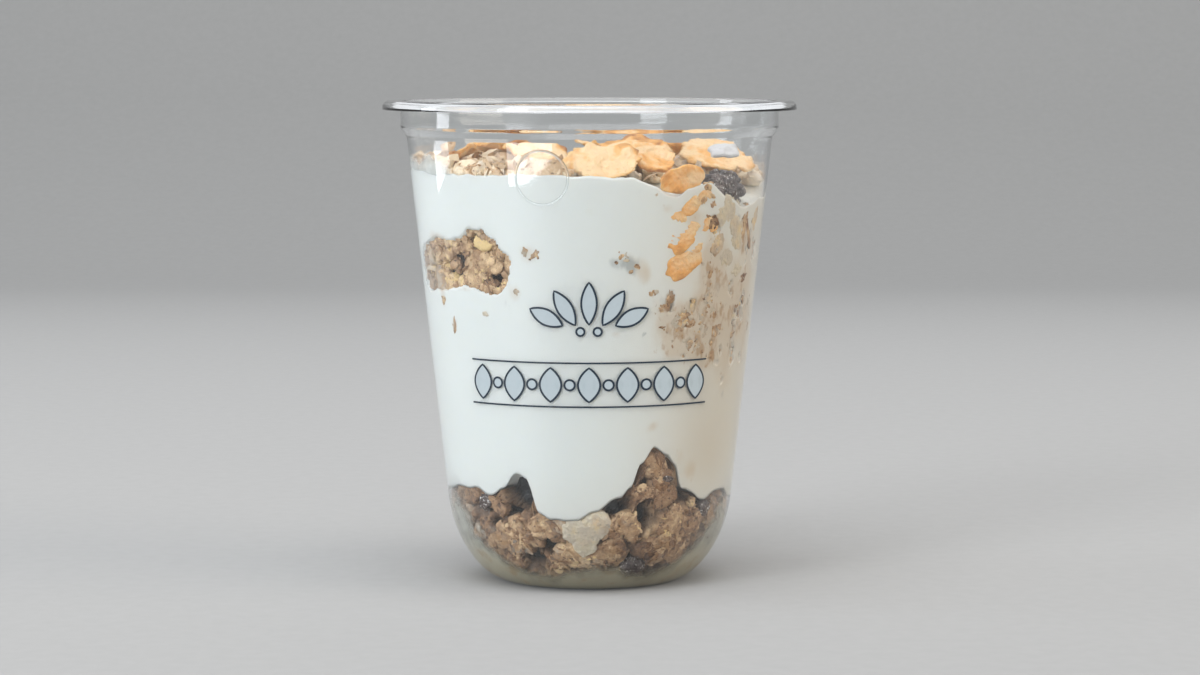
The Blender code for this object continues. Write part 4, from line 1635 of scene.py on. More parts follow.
@dataclass
class BaseLayer:
    """The bottom layer: granola soaked with yogurt, packed into the rounded bottom of the cup."""

    food: FoodForm
    finish: bpy.types.Material
    seed: int = 11
    inset: float = 0.00043
    columns: int = 240
    rows: int = 50
    floor: float = 1.2 * MM
    large: float = 1.95 * MM
    chunk: tuple = (
        (-6.2, 15.2, 3.0, 0.45, 0.0, 0.85), (2.6, 16.4, 3.5, 0.45, 0.05, 0.7),
        (-1.9, 14.0, 3.6, 0.4, 0.0, 0.8), (-2.2, 11.2, 2.8, 0.45, 0.0, 0.85),
        (-3.0, 14.7, 1.3, 0.05, 0.30, 0.35),
    )
    sticks: tuple = (
        ((13.0, 18.2), (22.8, 14.3), 0.62), ((38.0, 18.5), (43.0, 14.0), 0.5),
        ((-24.0, 15.0), (-19.5, 17.5), 0.5),
    )
    clusters: tuple = tuple(Cluster(*row) for row in (
        (-33, 13.0, 5.6, 3.8, 0.25, 0.25, 16), (-19.5, 16.2, 2.4, 1.8, 0.12, 0.35, 4),
        (-11, 15.6, 2.8, 1.1, 0.25, 0.40, 4), (-46, 13.5, 2.4, 3.8, 0.50, 0.30, 5),
        (-53.5, 22.0, 1.8, 1.2, 0.55, 0.10, 3, 0.7), (-40, 20.5, 1.4, 1.8, 0.62, 0.15, 2, 0.7),
        (-59, 15.0, 2.4, 4.0, 0.45, 0.50, 3), (15.5, 15.6, 3.4, 2.4, 0.22, 0.12, 7),
        (36.5, 14.0, 5.2, 5.2, 0.33, 0.12, 19), (44, 8.5, 3.2, 2.2, 0.38, 0.25, 5),
        (26, 29.0, 2.6, 2.4, 0.42, 0.05, 5, 0.55), (21, 24.6, 2.2, 2.2, 0.42, 0.05, 3, 0.55),
        (32, 24.0, 3.6, 2.2, 0.52, 0.05, 4, 0.7), (46.7, 19.8, 0.9, 0.8, 0.20, 0.10, 1),
        (50, 16.8, 2.4, 1.2, 0.40, 0.30, 2), (-35, 7.0, 3.0, 1.2, 0.40, 0.30, 3),
        (-14, 8.0, 2.2, 1.4, 0.28, 0.35, 4), (-8.8, 9.0, 1.4, 1.8, 0.30, 0.30, 3),
        (2.2, 8.4, 2.0, 1.4, 0.25, 0.40, 4), (10.3, 10.0, 3.0, 2.0, 0.36, 0.15, 6),
        (29, 9.4, 1.6, 1.8, 0.55, 0.10, 3), (61, 16.0, 2.4, 3.0, 0.40, 0.40, 3),
    ))
    # Gaps as angle, height, half width and half height in millimetres: hollowed out and given
    # painted shade.
    gaps: tuple = (
        (-28.3, 23.8, 3.4, 5.0), (-18.4, 11.2, 4.2, 2.2), (10.4, 20.0, 4.0, 2.6),
        (22.6, 18.2, 1.8, 3.2), (-46.0, 20.0, 2.4, 2.0), (54.8, 18.9, 2.6, 2.2),
        (41.0, 22.4, 2.0, 1.8), (-26.0, 7.2, 3.4, 1.8), (21.3, 7.0, 3.2, 2.6),
        (-42.5, 15.4, 1.4, 2.2), (24.0, 25.2, 2.0, 1.0), (5.5, 12.0, 0.9, 2.6),
        (-35.0, 19.0, 4.0, 1.2),
    )

    def at(self, angle: Array, height: Array, depth: Array) -> Array:
        """Places near the wall.

        Args:
            angle: Their angles in degrees.
            height: The heights where they would touch the wall's inner face.
            depth: How far in from there they are, towards the cup's spine.

        Returns:
            The places.
        """
        cup = self.food.cup
        radius = cup.inner_radius(height)
        rise = np.maximum(cup.spine_height - height, 0.0)
        length = np.hypot(radius, rise)
        return around(angle, radius * (1 - depth / length), height + rise * depth / length)

    def hollow(self, angle: Array, height: Array) -> Array:
        """How far places lie in a gap, which is hollowed out and given painted shade.

        Args:
            angle: The places' angles in degrees.
            height: Their heights in metres.

        Returns:
            Values from 0 outside to 1 in a gap's middle.
        """
        found = np.zeros(np.broadcast(angle, height).shape)
        ragged = 0.35 * layered_noise(around(angle, LOW_WALL * MM, height), 2.4 * MM, 14, 2)
        for middle, level, half_width, half_height in self.gaps:
            aside = np.radians(apart(angle, middle)) * LOW_WALL
            reach = np.hypot(aside / half_width, (height / MM - level) / half_height)
            found = np.maximum(found, 1.0 - fade(reach + ragged, 0.65, 1.25))
        return found

    def bedding(self, heap: Heap) -> None:
        """Adds the soaked crumb that the clumps are bedded in, hollow in the gaps, with painted
        shade there and in its deeper bumps.

        Args:
            heap: What gathers it.
        """
        angles = all_round(self.columns)
        rows, tints = [], []
        top = self.food.base_height(angles, 1.0) - 0.1 * MM
        for share in np.linspace(0.04, 1.0, self.rows):
            height = self.floor + (top - self.floor) * share
            wall = self.at(angles, height, 0.0)
            bumps = np.abs(layered_noise(wall, 2.6 * MM, 31, 2))
            bumps += 0.4 * np.abs(layered_noise(wall, 1.0 * MM, 35, 2))
            hollow = self.hollow(angles, height)
            rows.append(self.at(angles, height, (0.25 + 1.5 * bumps + 3.0 * hollow) * MM))
            toast = 0.60 + 0.35 * layered_noise(wall, 4.5 * MM, 38, 2)
            # The second tint is painted shade: full in the gaps, partial where the bumps lie
            # deepest.
            tints.append((toast, np.maximum(hollow, fade(bumps, 0.10, 0.70) * 0.60)))
        for share in (0.85, 0.6, 0.35, 0.12):
            height = self.food.base_height(angles, share) - 0.6 * MM
            rows.append(around(angles, self.food.cup.inner_radius(height) * share, height))
            # The rings inside get a little painted shade.
            tints.append((0.6 + 0 * angles, 0.2 + 0 * angles))
        points, faces = lathe(self.food.cup.press(np.stack(rows), self.inset + 0.00006))
        toast, sunk = (np.concatenate([[0.6], *values, [0.6]]) for values in zip(*tints))
        heap.add(points, faces, toast=toast, milk=0.12, sunk=sunk)

    def random_clusters(self, chance: np.random.Generator) -> list[Cluster]:
        """Clusters round the part of the wall that faces away.

        Args:
            chance: Where the random numbers come from.

        Returns:
            The clusters.
        """
        made = []
        for angle in np.arange(74, 288, 13.0):
            top = float(round_about(self.food.base_edge, np.array([angle]))[0]) / MM
            for low, high in ((5.0, 0.5 * top), (0.5 * top, top - 2.0)):
                half = chance.uniform(2.6, 4.6)
                made.append(Cluster(
                    angle + chance.uniform(-5, 5), chance.uniform(low, high), half,
                    half * chance.uniform(0.6, 0.9), chance.uniform(0.15, 0.5),
                    chance.uniform(0.05, 0.4), int(half * 1.2),
                ))
        return made

    def blobs(self, granola: Granola, chance: np.random.Generator) -> Scatter:
        """Adds the clusters' blobs, the large ones at the front finer.

        Args:
            granola: What gathers them.
            chance: Where the random numbers come from.

        Returns:
            Places all over them.
        """
        found = []
        for clusters, level in ((self.clusters, 4), (self.random_clusters(chance), 3)):
            rows = []
            for cluster in clusters:
                angle, height = cluster.places(chance)
                half = chance.uniform(1.5, 2.6, cluster.count) * MM
                half = half * min(1.0, 0.45 + cluster.half_height / 3)
                toast = cluster.toast + chance.uniform(-0.08, 0.28, cluster.count)
                milk = cluster.milk + chance.uniform(-0.2, 0.25, cluster.count)
                deep = half * chance.uniform(0.5, 0.9, cluster.count)
                rows.append((angle, height, half, toast, milk, deep, 0 * half + cluster.rough))
            blobs = np.stack(list(map(np.concatenate, zip(*rows))))
            top = self.food.base_height(blobs[0], 1.0) - blobs[2] * 0.6
            blobs[1] = np.clip(blobs[1], 1.4 * MM, top)
            blobs = blobs[:, self.hollow(blobs[0], blobs[1]) < 0.6]
            angle, height, half, toast, milk, deep, rough = blobs
            sizes = half[:, None] * chance.uniform(0.8, 1.2, (len(half), 3))
            places = self.at(angle, height, deep)
            large = half > self.large
            for these, fine in ((large, level), (~large, 3)):
                picked = (values[these] for values in (places, sizes, toast, milk))
                found.append(granola.add_clumps(*picked, fine, rough=rough[these]))
        return Scatter.joined(found)

    def soaked(self, granola: Granola) -> None:
        """Adds the pale soaked chunk at the front, with a toasted spot in its middle.

        Args:
            granola: What gathers it.
        """
        angle, height, half, deep, toast, milk = np.array(self.chunk).T
        sizes = half[:, None] * MM * np.ones((1, 3))
        places = self.at(angle, height * MM, half * deep * MM)
        inset = granola.inset
        granola.inset = inset - 0.00003
        granola.add_clumps(places, sizes, toast, milk, 4, rough=0.5)
        granola.inset = inset
        granola.weaken_painted_shade(0.35)

    def stick(self, granola: Granola, start: tuple, end: tuple, half: float) -> None:
        """Adds a straw of oat husk that lies along the wall.

        Args:
            granola: What gathers it.
            start: The angle in degrees and height in millimetres of one end.
            end: Those of the other end.
            half: Half its width in metres.
        """
        points, faces = ball(3)
        share = points[:, 0] * 0.5 + 0.5
        angle = start[0] + (end[0] - start[0]) * share
        height = (start[1] + (end[1] - start[1]) * share) * MM
        round_off = np.sqrt(np.maximum(1 - points[:, 0] ** 8, 0))
        up = points[:, 1] / np.maximum(np.hypot(points[:, 1], points[:, 2]), 0.2) * round_off * half
        deep = (1.0 - points[:, 2]) * half
        placed = self.food.cup.press(self.at(angle, height + up, deep), self.inset - 0.00005)
        granola.oats.add(placed, faces, toast=-0.05, milk=0.05, sunk=0.0)

    def build(self) -> None:
        """Makes the layer's pieces."""
        chance = np.random.default_rng(self.seed)
        granola = Granola("base", self.food.cup, chance, self.inset)
        self.bedding(granola.clumps)
        spots = self.blobs(granola, chance)
        self.soaked(granola)
        for start, end, half in self.sticks:
            self.stick(granola, start, end, half * MM)
        angle, height = angle_of(spots.middle), spots.middle[:, 2]
        near = (granola.depth(spots.middle) < 1.3 * MM) & (height > 1.5 * MM)
        near &= height < self.food.base_height(angle, 1.0) - 0.8 * MM
        near = spots.kept(near & (self.hollow(angle, height) < 0.3))
        granola.add_oats(near.some(chance, 60), OatKind.FLAKE, 0.35)
        granola.add_oats(near.some(chance, 260), OatKind.BROKEN, 0.5)
        granola.add_crumbs(near.some(chance, 850), 0.2 * MM, 0.45 * MM)
        granola.add_crumbs(near.some(chance, 500), 0.45 * MM, 0.8 * MM, 2)
        # Tiny crumbs tinted far whiter than milk: painted glints on the wet granola.
        glints = near.some(chance, 70)
        glints.milk = glints.milk * 0 + 3.0
        granola.add_crumbs(glints, 0.10 * MM, 0.20 * MM)
        granola.build(self.finish, "granola_base")


@dataclass
class WallBits:
    """Bits of granola that lie against the wall in the yogurt, thick where it is stained."""

    food: FoodForm
    finish: bpy.types.Material
    stains: tuple
    pieces: tuple = (
        (50.0, 86.2, 3.2, 3.4, -0.15, 0.80), (56.5, 81.5, 2.6, 4.2, -0.10, 0.75),
        (61.5, 82.5, 1.3, 4.6, 0.22, 0.35), (65.0, 80.5, 0.9, 4.2, 0.50, 0.10),
        (47.0, 79.0, 2.0, 2.6, 0.08, 0.60), (52.0, 75.5, 2.2, 2.2, 0.00, 0.80),
        (59.0, 72.6, 3.0, 1.5, -0.05, 0.95), (64.5, 70.6, 2.2, 1.0, 0.62, 0.15),
        (44.0, 83.6, 1.8, 1.5, 0.60, 0.05), (41.4, 84.8, 1.2, 0.9, 0.66, 0.00),
        (43.5, 87.6, 1.3, 1.0, 0.35, 0.10), (48.6, 53.8, 1.1, 1.5, 0.45, 0.05),
        (70.0, 84.0, 1.6, 3.6, 0.05, 0.60), (40.6, 91.6, 1.5, 1.1, 0.12, 0.10),
        (38.7, 88.8, 1.2, 1.4, 0.15, 0.20), (42.6, 89.6, 1.3, 0.8, 0.05, 0.30),
        (10.4, 76.8, 0.8, 0.9, 0.25, 0.20), (15.7, 74.2, 0.9, 0.8, 0.30, 0.20),
        (8.9, 75.2, 0.5, 0.4, 0.50, 0.10), (13.9, 73.3, 0.6, 0.5, 0.35, 0.30),
        (12.2, 75.7, 0.8, 0.4, 0.05, 0.70), (-21.3, 77.6, 0.9, 1.1, 0.28, 0.55),
        (-17.4, 77.0, 1.0, 0.9, 0.25, 0.50), (-19.3, 76.1, 0.7, 0.5, 0.40, 0.45),
        (-24.8, 68.8, 0.8, 0.9, 0.30, 0.60), (-54.3, 60.4, 0.9, 2.0, 0.30, 0.50),
        (-60.0, 65.8, 1.1, 1.2, 0.30, 0.60), (-37.8, 63.3, 0.9, 0.7, 0.20, 0.85),
        (21.4, 68.2, 0.8, 1.0, 0.30, 0.30), (28.0, 67.0, 1.1, 1.1, 0.32, 0.30),
        (25.6, 64.6, 1.5, 0.8, 0.20, 0.40), (33.3, 62.9, 1.2, 1.0, 0.30, 0.40),
        (25.7, 60.7, 1.1, 0.35, 0.70, 0.20), (38.0, 57.0, 0.9, 1.6, 0.20, 0.50),
    )
    seed: int = 71
    tries: int = 60000
    large: float = 2.0

    def build(self) -> None:
        """Makes the bits."""
        chance = np.random.default_rng(self.seed)
        granola = Granola("bits", self.food.cup, chance, inset=0.00014)
        angle = chance.uniform(-180, 180, self.tries)
        height = chance.uniform(20, 92, self.tries)
        hazes = total_cover(self.stains, angle, height * MM)
        flecks = total_cover(self.stains, angle, height * MM, StainKind.FLECK)
        places = around(angle, MIDDLE_WALL * MM, height * MM) * (1.0, 1.0, 0.6)
        pattern = fade(layered_noise(places, 2.6 * MM, 9), -0.05, 0.45)
        likely = 0.42 * np.clip(hazes - 0.35, 0, 1) ** 2 * pattern
        likely += 0.15 * np.clip(flecks, 0, 1) ** 2
        kept = chance.random(len(angle)) < likely
        angle, height = angle[kept], height[kept]
        count = len(angle)
        wide = chance.lognormal(-0.55, 0.5, count)
        tall = wide * chance.uniform(0.7, 1.8, count)
        toast, milk = chance.uniform(0.0, 0.5, count), chance.uniform(0.3, 0.85, count)
        self.lay(granola, 2, (angle, height, wide, tall, toast, milk), 0.40 * MM)
        pieces = np.array(self.pieces)
        large = pieces[:, 2] * pieces[:, 3] > self.large
        pieces = Scatter.joined([
            self.lay(granola, 4, tuple(pieces[large].T), 1.1 * MM),
            self.lay(granola, 3, tuple(pieces[~large].T), 0.7 * MM),
        ])
        near = pieces.kept(granola.depth(pieces.middle) < 0.5 * MM)
        granola.add_crumbs(near.some(chance, 160), 0.15 * MM, 0.4 * MM)
        LOG.info("bits of granola in the yogurt: %d", count)
        granola.build(self.finish)

    def lay(self, granola: Granola, level: int, bits: tuple, thick: float) -> Scatter:
        """Lays bits flat against the wall, so that they show in front of the yogurt.

        Args:
            granola: What gathers them.
            level: How finely each is divided.
            bits: Angles, heights, half widths, half heights, toast and milk, as arrays.
            thick: Half their thickness in metres.

        Returns:
            Places all over them.
        """
        angle, height, wide, tall, toast, milk = bits
        sizes = np.stack([wide * MM, tall * MM, 0 * wide + thick], axis=-1)
        roll = granola.chance.normal(scale=0.35, size=len(angle))
        side, out = (around(angle + more, 1.0, 0.0) for more in (90.0, 0.0))
        up = np.array((0.0, 0.0, 1.0))
        cosine, sine = np.cos(roll)[:, None], np.sin(roll)[:, None]
        spins = np.stack([side * cosine + up * sine, up * cosine - side * sine, out], axis=-1)
        sunk = granola.chance.uniform(0.15, 0.5, len(angle)) * thick
        radius = self.food.cup.radius(height * MM, 0.4 * MM) - sunk
        places = around(angle, radius, height * MM)
        found = granola.add_clumps(places, sizes, toast, milk, level, spins)
        granola.weaken_painted_shade(0.25)
        return found


@dataclass
class TopGranola:
    """The granola strewn over the yogurt."""

    food: FoodForm
    finish: bpy.types.Material
    seed: int = 23
    tries: int = 900
    reach: float = 0.985
    spacing: float = 0.085
    edge_bits: int = 150

    def spread(self, chance: np.random.Generator) -> tuple[Array, Array]:
        """Picks places all over the yogurt, but for the bare edge at the front right.

        Args:
            chance: Where the random numbers come from.

        Returns:
            Shares of the way out to the wall, and angles in degrees.
        """
        spots = np.stack([chance.uniform(-1, 1, self.tries) for _ in "xy"], axis=-1)
        spots = spots[np.hypot(*spots.T) < self.reach]
        chosen = spots[:1]
        for spot in spots[1:]:
            if np.min(np.hypot(*(chosen - spot).T)) > self.spacing:
                chosen = np.vstack([chosen, spot])
        share, angle = np.hypot(*chosen.T), angle_of(chosen)
        bare = (share > 0.72) & (angle > -12) & (angle < 84)
        return share[~bare], angle[~bare]

    def build(self) -> None:
        """Makes the pieces."""
        chance = np.random.default_rng(self.seed)
        granola = Granola("top", self.food.cup, chance)
        share, angle = self.spread(chance)
        half = chance.uniform(1.4 * MM, 2.7 * MM, len(share))
        share = np.concatenate([share, chance.uniform(0.86, self.reach, self.edge_bits)])
        angle = np.concatenate([angle, chance.uniform(-86, -5, self.edge_bits)])
        small = chance.uniform(0.7 * MM, 1.5 * MM, self.edge_bits)
        half = np.concatenate([half, small])
        height = self.food.top_height(angle, share) + half * chance.uniform(0.0, 0.7, len(half))
        height += 1.4 * MM * (1 - share**2) + 0.3 * MM
        radius = self.food.cup.inner_radius(height) * share
        sizes = half[:, None] * chance.uniform(0.8, 1.2, (len(half), 3)) * (1.1, 0.9, 0.62)
        toast = chance.uniform(-0.1, 0.5, len(half))
        milk = chance.uniform(-0.1, 0.6, len(half))
        lean = (0.0, 0.0, 1.0) + chance.normal(scale=0.5, size=(len(half), 3))
        spins = facing(lean, chance.uniform(0, math.tau, len(half)))
        middles = around(angle, radius, height)
        places = granola.add_clumps(middles, sizes, toast, milk, spins=spins)
        granola.weaken_painted_shade(0.12)
        up = places.kept(places.normal[:, 2] > 0.15)
        granola.add_oats(up.some(chance, 180), OatKind.FLAKE, 0.3, 0.2 * MM)
        granola.add_oats(up.some(chance, 300), OatKind.BROKEN, 0.5, 0.15 * MM)
        granola.add_crumbs(up.some(chance, 500), 0.25 * MM, 0.5 * MM)
        granola.add_crumbs(up.some(chance, 400), 0.5 * MM, 0.8 * MM, 2)
        # Painted shade on the top oats and crumbs is cut to a tenth.
        granola.oats.tints["sunk"] = [v * 0.1 for v in granola.oats.tints["sunk"]]
        granola.build(self.finish, "granola_top")


@dataclass(frozen=True)
class Flake:
    """One cornflake on the heap: its middle, turn and tilt in degrees, size and curl."""

    x: float
    y: float
    z: float
    turn: float
    tilt: float
    width: float
    length: float
    bend: float
    toast: float = 0.12


@dataclass
class Cornflakes:
    """The cornflakes on the heap and those caught between the yogurt and the wall."""

    cup: CupForm
    thickness: float = 0.0011
    pit: float = 0.38 * MM
    rib: float = 0.10 * MM
    on_top: tuple = (
        Flake(0.0025, -0.0338, 0.0970, 2, 46, 0.0165, 0.0105, 0.20),
        Flake(0.0099, -0.0168, 0.1004, -14, 30, 0.0160, 0.0120, -0.45, 0.50),
        Flake(0.0140, -0.0290, 0.0975, 20, 40, 0.0105, 0.0088, 0.30, 0.34),
        Flake(0.0290, -0.0080, 0.0982, 30, 32, 0.0190, 0.0145, -0.20),
        Flake(-0.0120, -0.0100, 0.0978, 40, 16, 0.0165, 0.0130, 0.38),
        Flake(0.0030, 0.0100, 0.0985, 100, 20, 0.0185, 0.0140, 0.30),
        Flake(0.0230, 0.0110, 0.0975, 150, 18, 0.0170, 0.0135, 0.42),
        Flake(-0.0200, 0.0160, 0.0976, 200, 22, 0.0180, 0.0140, 0.34),
        Flake(0.0100, 0.0290, 0.0968, 175, 26, 0.0165, 0.0130, 0.36),
        Flake(-0.0310, -0.0010, 0.0968, 260, 20, 0.0140, 0.0110, 0.40),
    )
    at_wall: tuple = (
        (31, 0.0932, 0.0112, 0.0070, 4), (32, 0.0808, 0.0108, 0.0068, 32),
        (33, 0.0748, 0.0112, 0.0062, 26),
    )
    slivers: tuple = (
        (34.5, 0.0874, 0.0056, 0.0036, 34), (30.0, 0.0848, 0.0048, 0.0030, -16),
        (45.5, 0.0842, 0.0060, 0.0038, 52), (40.5, 0.0831, 0.0050, 0.0030, 20),
        (39.5, 0.0893, 0.0064, 0.0040, 44), (37.0, 0.0780, 0.0050, 0.0026, 30),
    )

    def top_flake(self, spec: Flake, net: Array) -> tuple[Array, Array]:
        """Shapes one flake on the heap.

        Args:
            spec: Its place, turn, size and curl.
            net: The flat net that it is shaped from.

        Returns:
            Its points and how brown each is.
        """
        u, v, side = net.T
        seed = spec.x * 900 + spec.y * 700
        reach, shift = np.hypot(u, v), Vector((seed, 3.0, 1.0))
        ragged = ragged_edge(u, v, Vector((seed, 0.0, 2.0)), 1.3, 0.16)
        ragged += reach**4 * (ragged_edge(u, v, shift, 4.5, 0.11) - 1)
        ragged += reach**6 * (ragged_edge(u, v, shift, 12.0, 0.06) - 1)
        across, along = u * spec.width / 2 * ragged, v * spec.length / 2 * ragged
        curl = spec.bend * (across**2 / spec.width + 0.5 * along**2 / spec.length)
        flat = np.stack([across, along, 0 * u], axis=-1)
        pattern = int(abs(seed) * 10) % 97
        blister = 0.65 * MM * smooth_noise(flat, 3.6 * MM, pattern)
        pits = self.pit * layered_noise(flat + side[:, None] * MM, 1.7 * MM, pattern + 5)
        pits += 0.12 * MM * smooth_noise(flat, 0.6 * MM, pattern + 8)
        frill = 1.0 * MM * reach**3 * smooth_noise(flat, 2.6 * MM, pattern + 9)
        body = lens_body(side, reach, self.thickness)
        flat[:, 2] = curl + blister + frill + body + pits * (np.abs(side) > 0)
        placed = flat @ turned(spec.tilt, 0.0, spec.turn).T + (spec.x, spec.y, spec.z)
        toast = spec.toast + 0.5 * reach**6 + 0.65 * layered_noise(flat, 4.0 * MM, pattern + 2, 2)
        return self.cup.press(placed, 0.0010), toast - 0.40 * pits / self.pit

    def wall_flake(self, spec: tuple, net: Array) -> tuple[Array, Array]:
        """Shapes one flake between yogurt and wall.

        Args:
            spec: Its angle in degrees, height, width and length in metres, and its roll in degrees.
            net: The flat net that it is shaped from.

        Returns:
            Its points and how brown each is.
        """
        angle, height, width, length, roll = spec
        u, v, side = net.T
        twist = math.radians(roll)
        ragged = ragged_edge(u, v, Vector((height * 500, 0.0, 4.0)), 1.5, 0.30)
        across, along = u * width / 2 * ragged, v * length / 2 * ragged
        level = height + across * math.sin(twist) + along * math.cos(twist)
        aside = across * math.cos(twist) - along * math.sin(twist)
        flat = np.stack([across, along, 0 * u], axis=-1)
        lines = (across + 0.6 * along) / (0.21 * MM) + 3 * smooth_noise(flat, 2 * MM, 3)
        ribs = self.rib * np.sin(lines)
        reach = np.hypot(u, v)
        dents = 0.55 * MM * layered_noise(flat, 4.4 * MM, int(height * 9000) % 89, 2)
        dents += 0.4 * ribs * (1 - reach**2)
        body = lens_body(side, reach, self.thickness)
        radius = self.cup.inner_radius(level) - 0.32 * MM + body + dents
        radius = np.minimum(radius, self.cup.radius(level, 0.00034))
        toast = 0.32 + 0.3 * reach**4 + 0.7 * smooth_noise(flat, 2.5 * MM, 7)
        toast -= ribs / self.rib * 0.05
        return around(angle + np.degrees(aside / radius), radius, level), toast

    def build(self) -> None:
        """Makes one piece of all the cornflakes."""
        heap, (net, faces) = Heap(), leaf(16, 80)
        shaped = [self.top_flake(spec, net) for spec in self.on_top]
        shaped += [self.wall_flake(spec, net) for spec in self.at_wall + self.slivers]
        for points, toast in shaped:
            heap.add(points, faces, toast=toast)
        nodes = [f"cornflake_{i:02d}" for i in range(1, len(self.on_top) + 1)]
        nodes += [f"side_flake_{i:02d}" for i in range(1, len(self.at_wall) + 1)]
        dress(heap.build("cornflakes", CornflakeFinish().material()), "cornflake", *nodes)


@dataclass
class Raisins:
    """The raisin at the top right and the ones in the bottom layer.

    One on top is (x, y, z, turn in degrees, length, width, height) in metres. One in the base is
    (angle in degrees, height, roll in degrees, length, height of its own) in millimetres.
    """

    cup: CupForm
    on_top: tuple = ((0.0292, -0.0204, 0.0904, 56, 0.0125, 0.0084, 0.0085),)
    in_base: tuple = (
        (-46.5, 20.4, -15, 4.6, 3.8), (21.3, 6.4, 10, 5.4, 4.6), (31.8, 26.4, 8, 3.4, 1.9),
        (54.8, 18.5, 0, 4.2, 3.8), (150, 17.0, 30, 6.0, 4.5), (215, 20.0, -20, 6.0, 4.5),
        (182, 8.0, 0, 5.5, 4.2), (256, 12.0, 10, 5.5, 4.2),
    )
    base_width: float = 3.2

    def shape(self, net: Array, middle: Array, turn: Array, size: Array, seed: int) -> Array:
        """Shapes one raisin.

        Args:
            net: Points of a ball.
            middle: Where it is.
            turn: Its rotation matrix.
            size: Its length, width and height.
            seed: Picks its wrinkles.

        Returns:
            Its points, flattened where they meet the wall.
        """
        fold = np.abs(smooth_noise(net, 0.42, seed))
        small = np.abs(smooth_noise(net, 0.17, seed + 3))
        scale = 0.84 + 0.42 * np.minimum(fold * 1.6, 0.6) + 0.10 * small
        return self.cup.press((net * size / 2 * scale[:, None]) @ turn.T + middle, 0.00020)

    def build(self) -> None:
        """Makes one piece of all the raisins."""
        heap, (net, faces) = Heap(), ball(5)
        for x, y, z, turn, length, width, height in self.on_top:
            place, size = np.array((x, y, z)), np.array((length, width, height))
            heap.add(self.shape(net, place, turned(0.0, 0.0, turn), size, 4), faces)
        net, faces = ball(4)
        for number, (angle, height, roll, long, tall) in enumerate(self.in_base):
            radius = float(self.cup.inner_radius(np.array(height * MM))) - 1.1 * MM
            middle = around(np.array(angle), radius, height * MM)
            if height * MM < self.cup.spine_height:
                middle = self.cup.press(middle, 0.0016)
            spin = turned(0.0, roll, angle)
            size = np.array((long, self.base_width, tall)) * MM
            heap.add(self.shape(net, middle, spin, size, 20 + number), faces)
        dress(heap.build("raisins", RaisinFinish().material()), "raisin", "raisin_01")


@dataclass
class CoconutChips:
    """White shavings of coconut: (x, y, z, turn, tilt in degrees, length, width)."""

    thickness: float = 0.0012
    chips: tuple = (
        (0.0300, -0.0205, 0.0993, 10, 40, 0.0072, 0.0044),
        (-0.0100, 0.0265, 0.0972, 130, 12, 0.0090, 0.0038),
    )

    def build(self) -> None:
        """Makes one piece of the chips."""
        heap, (net, faces) = Heap(), leaf(8, 44)
        u, v, side = net.T
        for x, y, z, turn, tilt, length, width in self.chips:
            square = np.maximum(np.abs(u), np.abs(v)) / np.maximum(np.hypot(u, v), 1e-6)
            swell = 1.0 / np.maximum(square, 0.75)
            shift = Vector((0.0, 0.0, length * 900))
            swell = swell * 0.9 * ragged_edge(u, v, shift, 2.1, 0.2)
            across, along = u * length / 2 * swell, v * width / 2 * swell
            flat = np.stack([across, along, 0 * u], axis=-1)
            body = lens_body(side, np.hypot(u, v), self.thickness, 10)
            lumps = 0.30 * MM * layered_noise(flat, 1.8 * MM, 5)
            flat[:, 2] = -0.4 * across * across / length + body + lumps
            heap.add(flat @ turned(tilt, 0.0, turn).T + (x, y, z), faces)
        nodes = [f"coconut_chip_{i:02d}" for i in range(1, len(self.chips) + 1)]
        dress(heap.build("coconut_chips", CoconutFinish().material()), "coconut", *nodes)


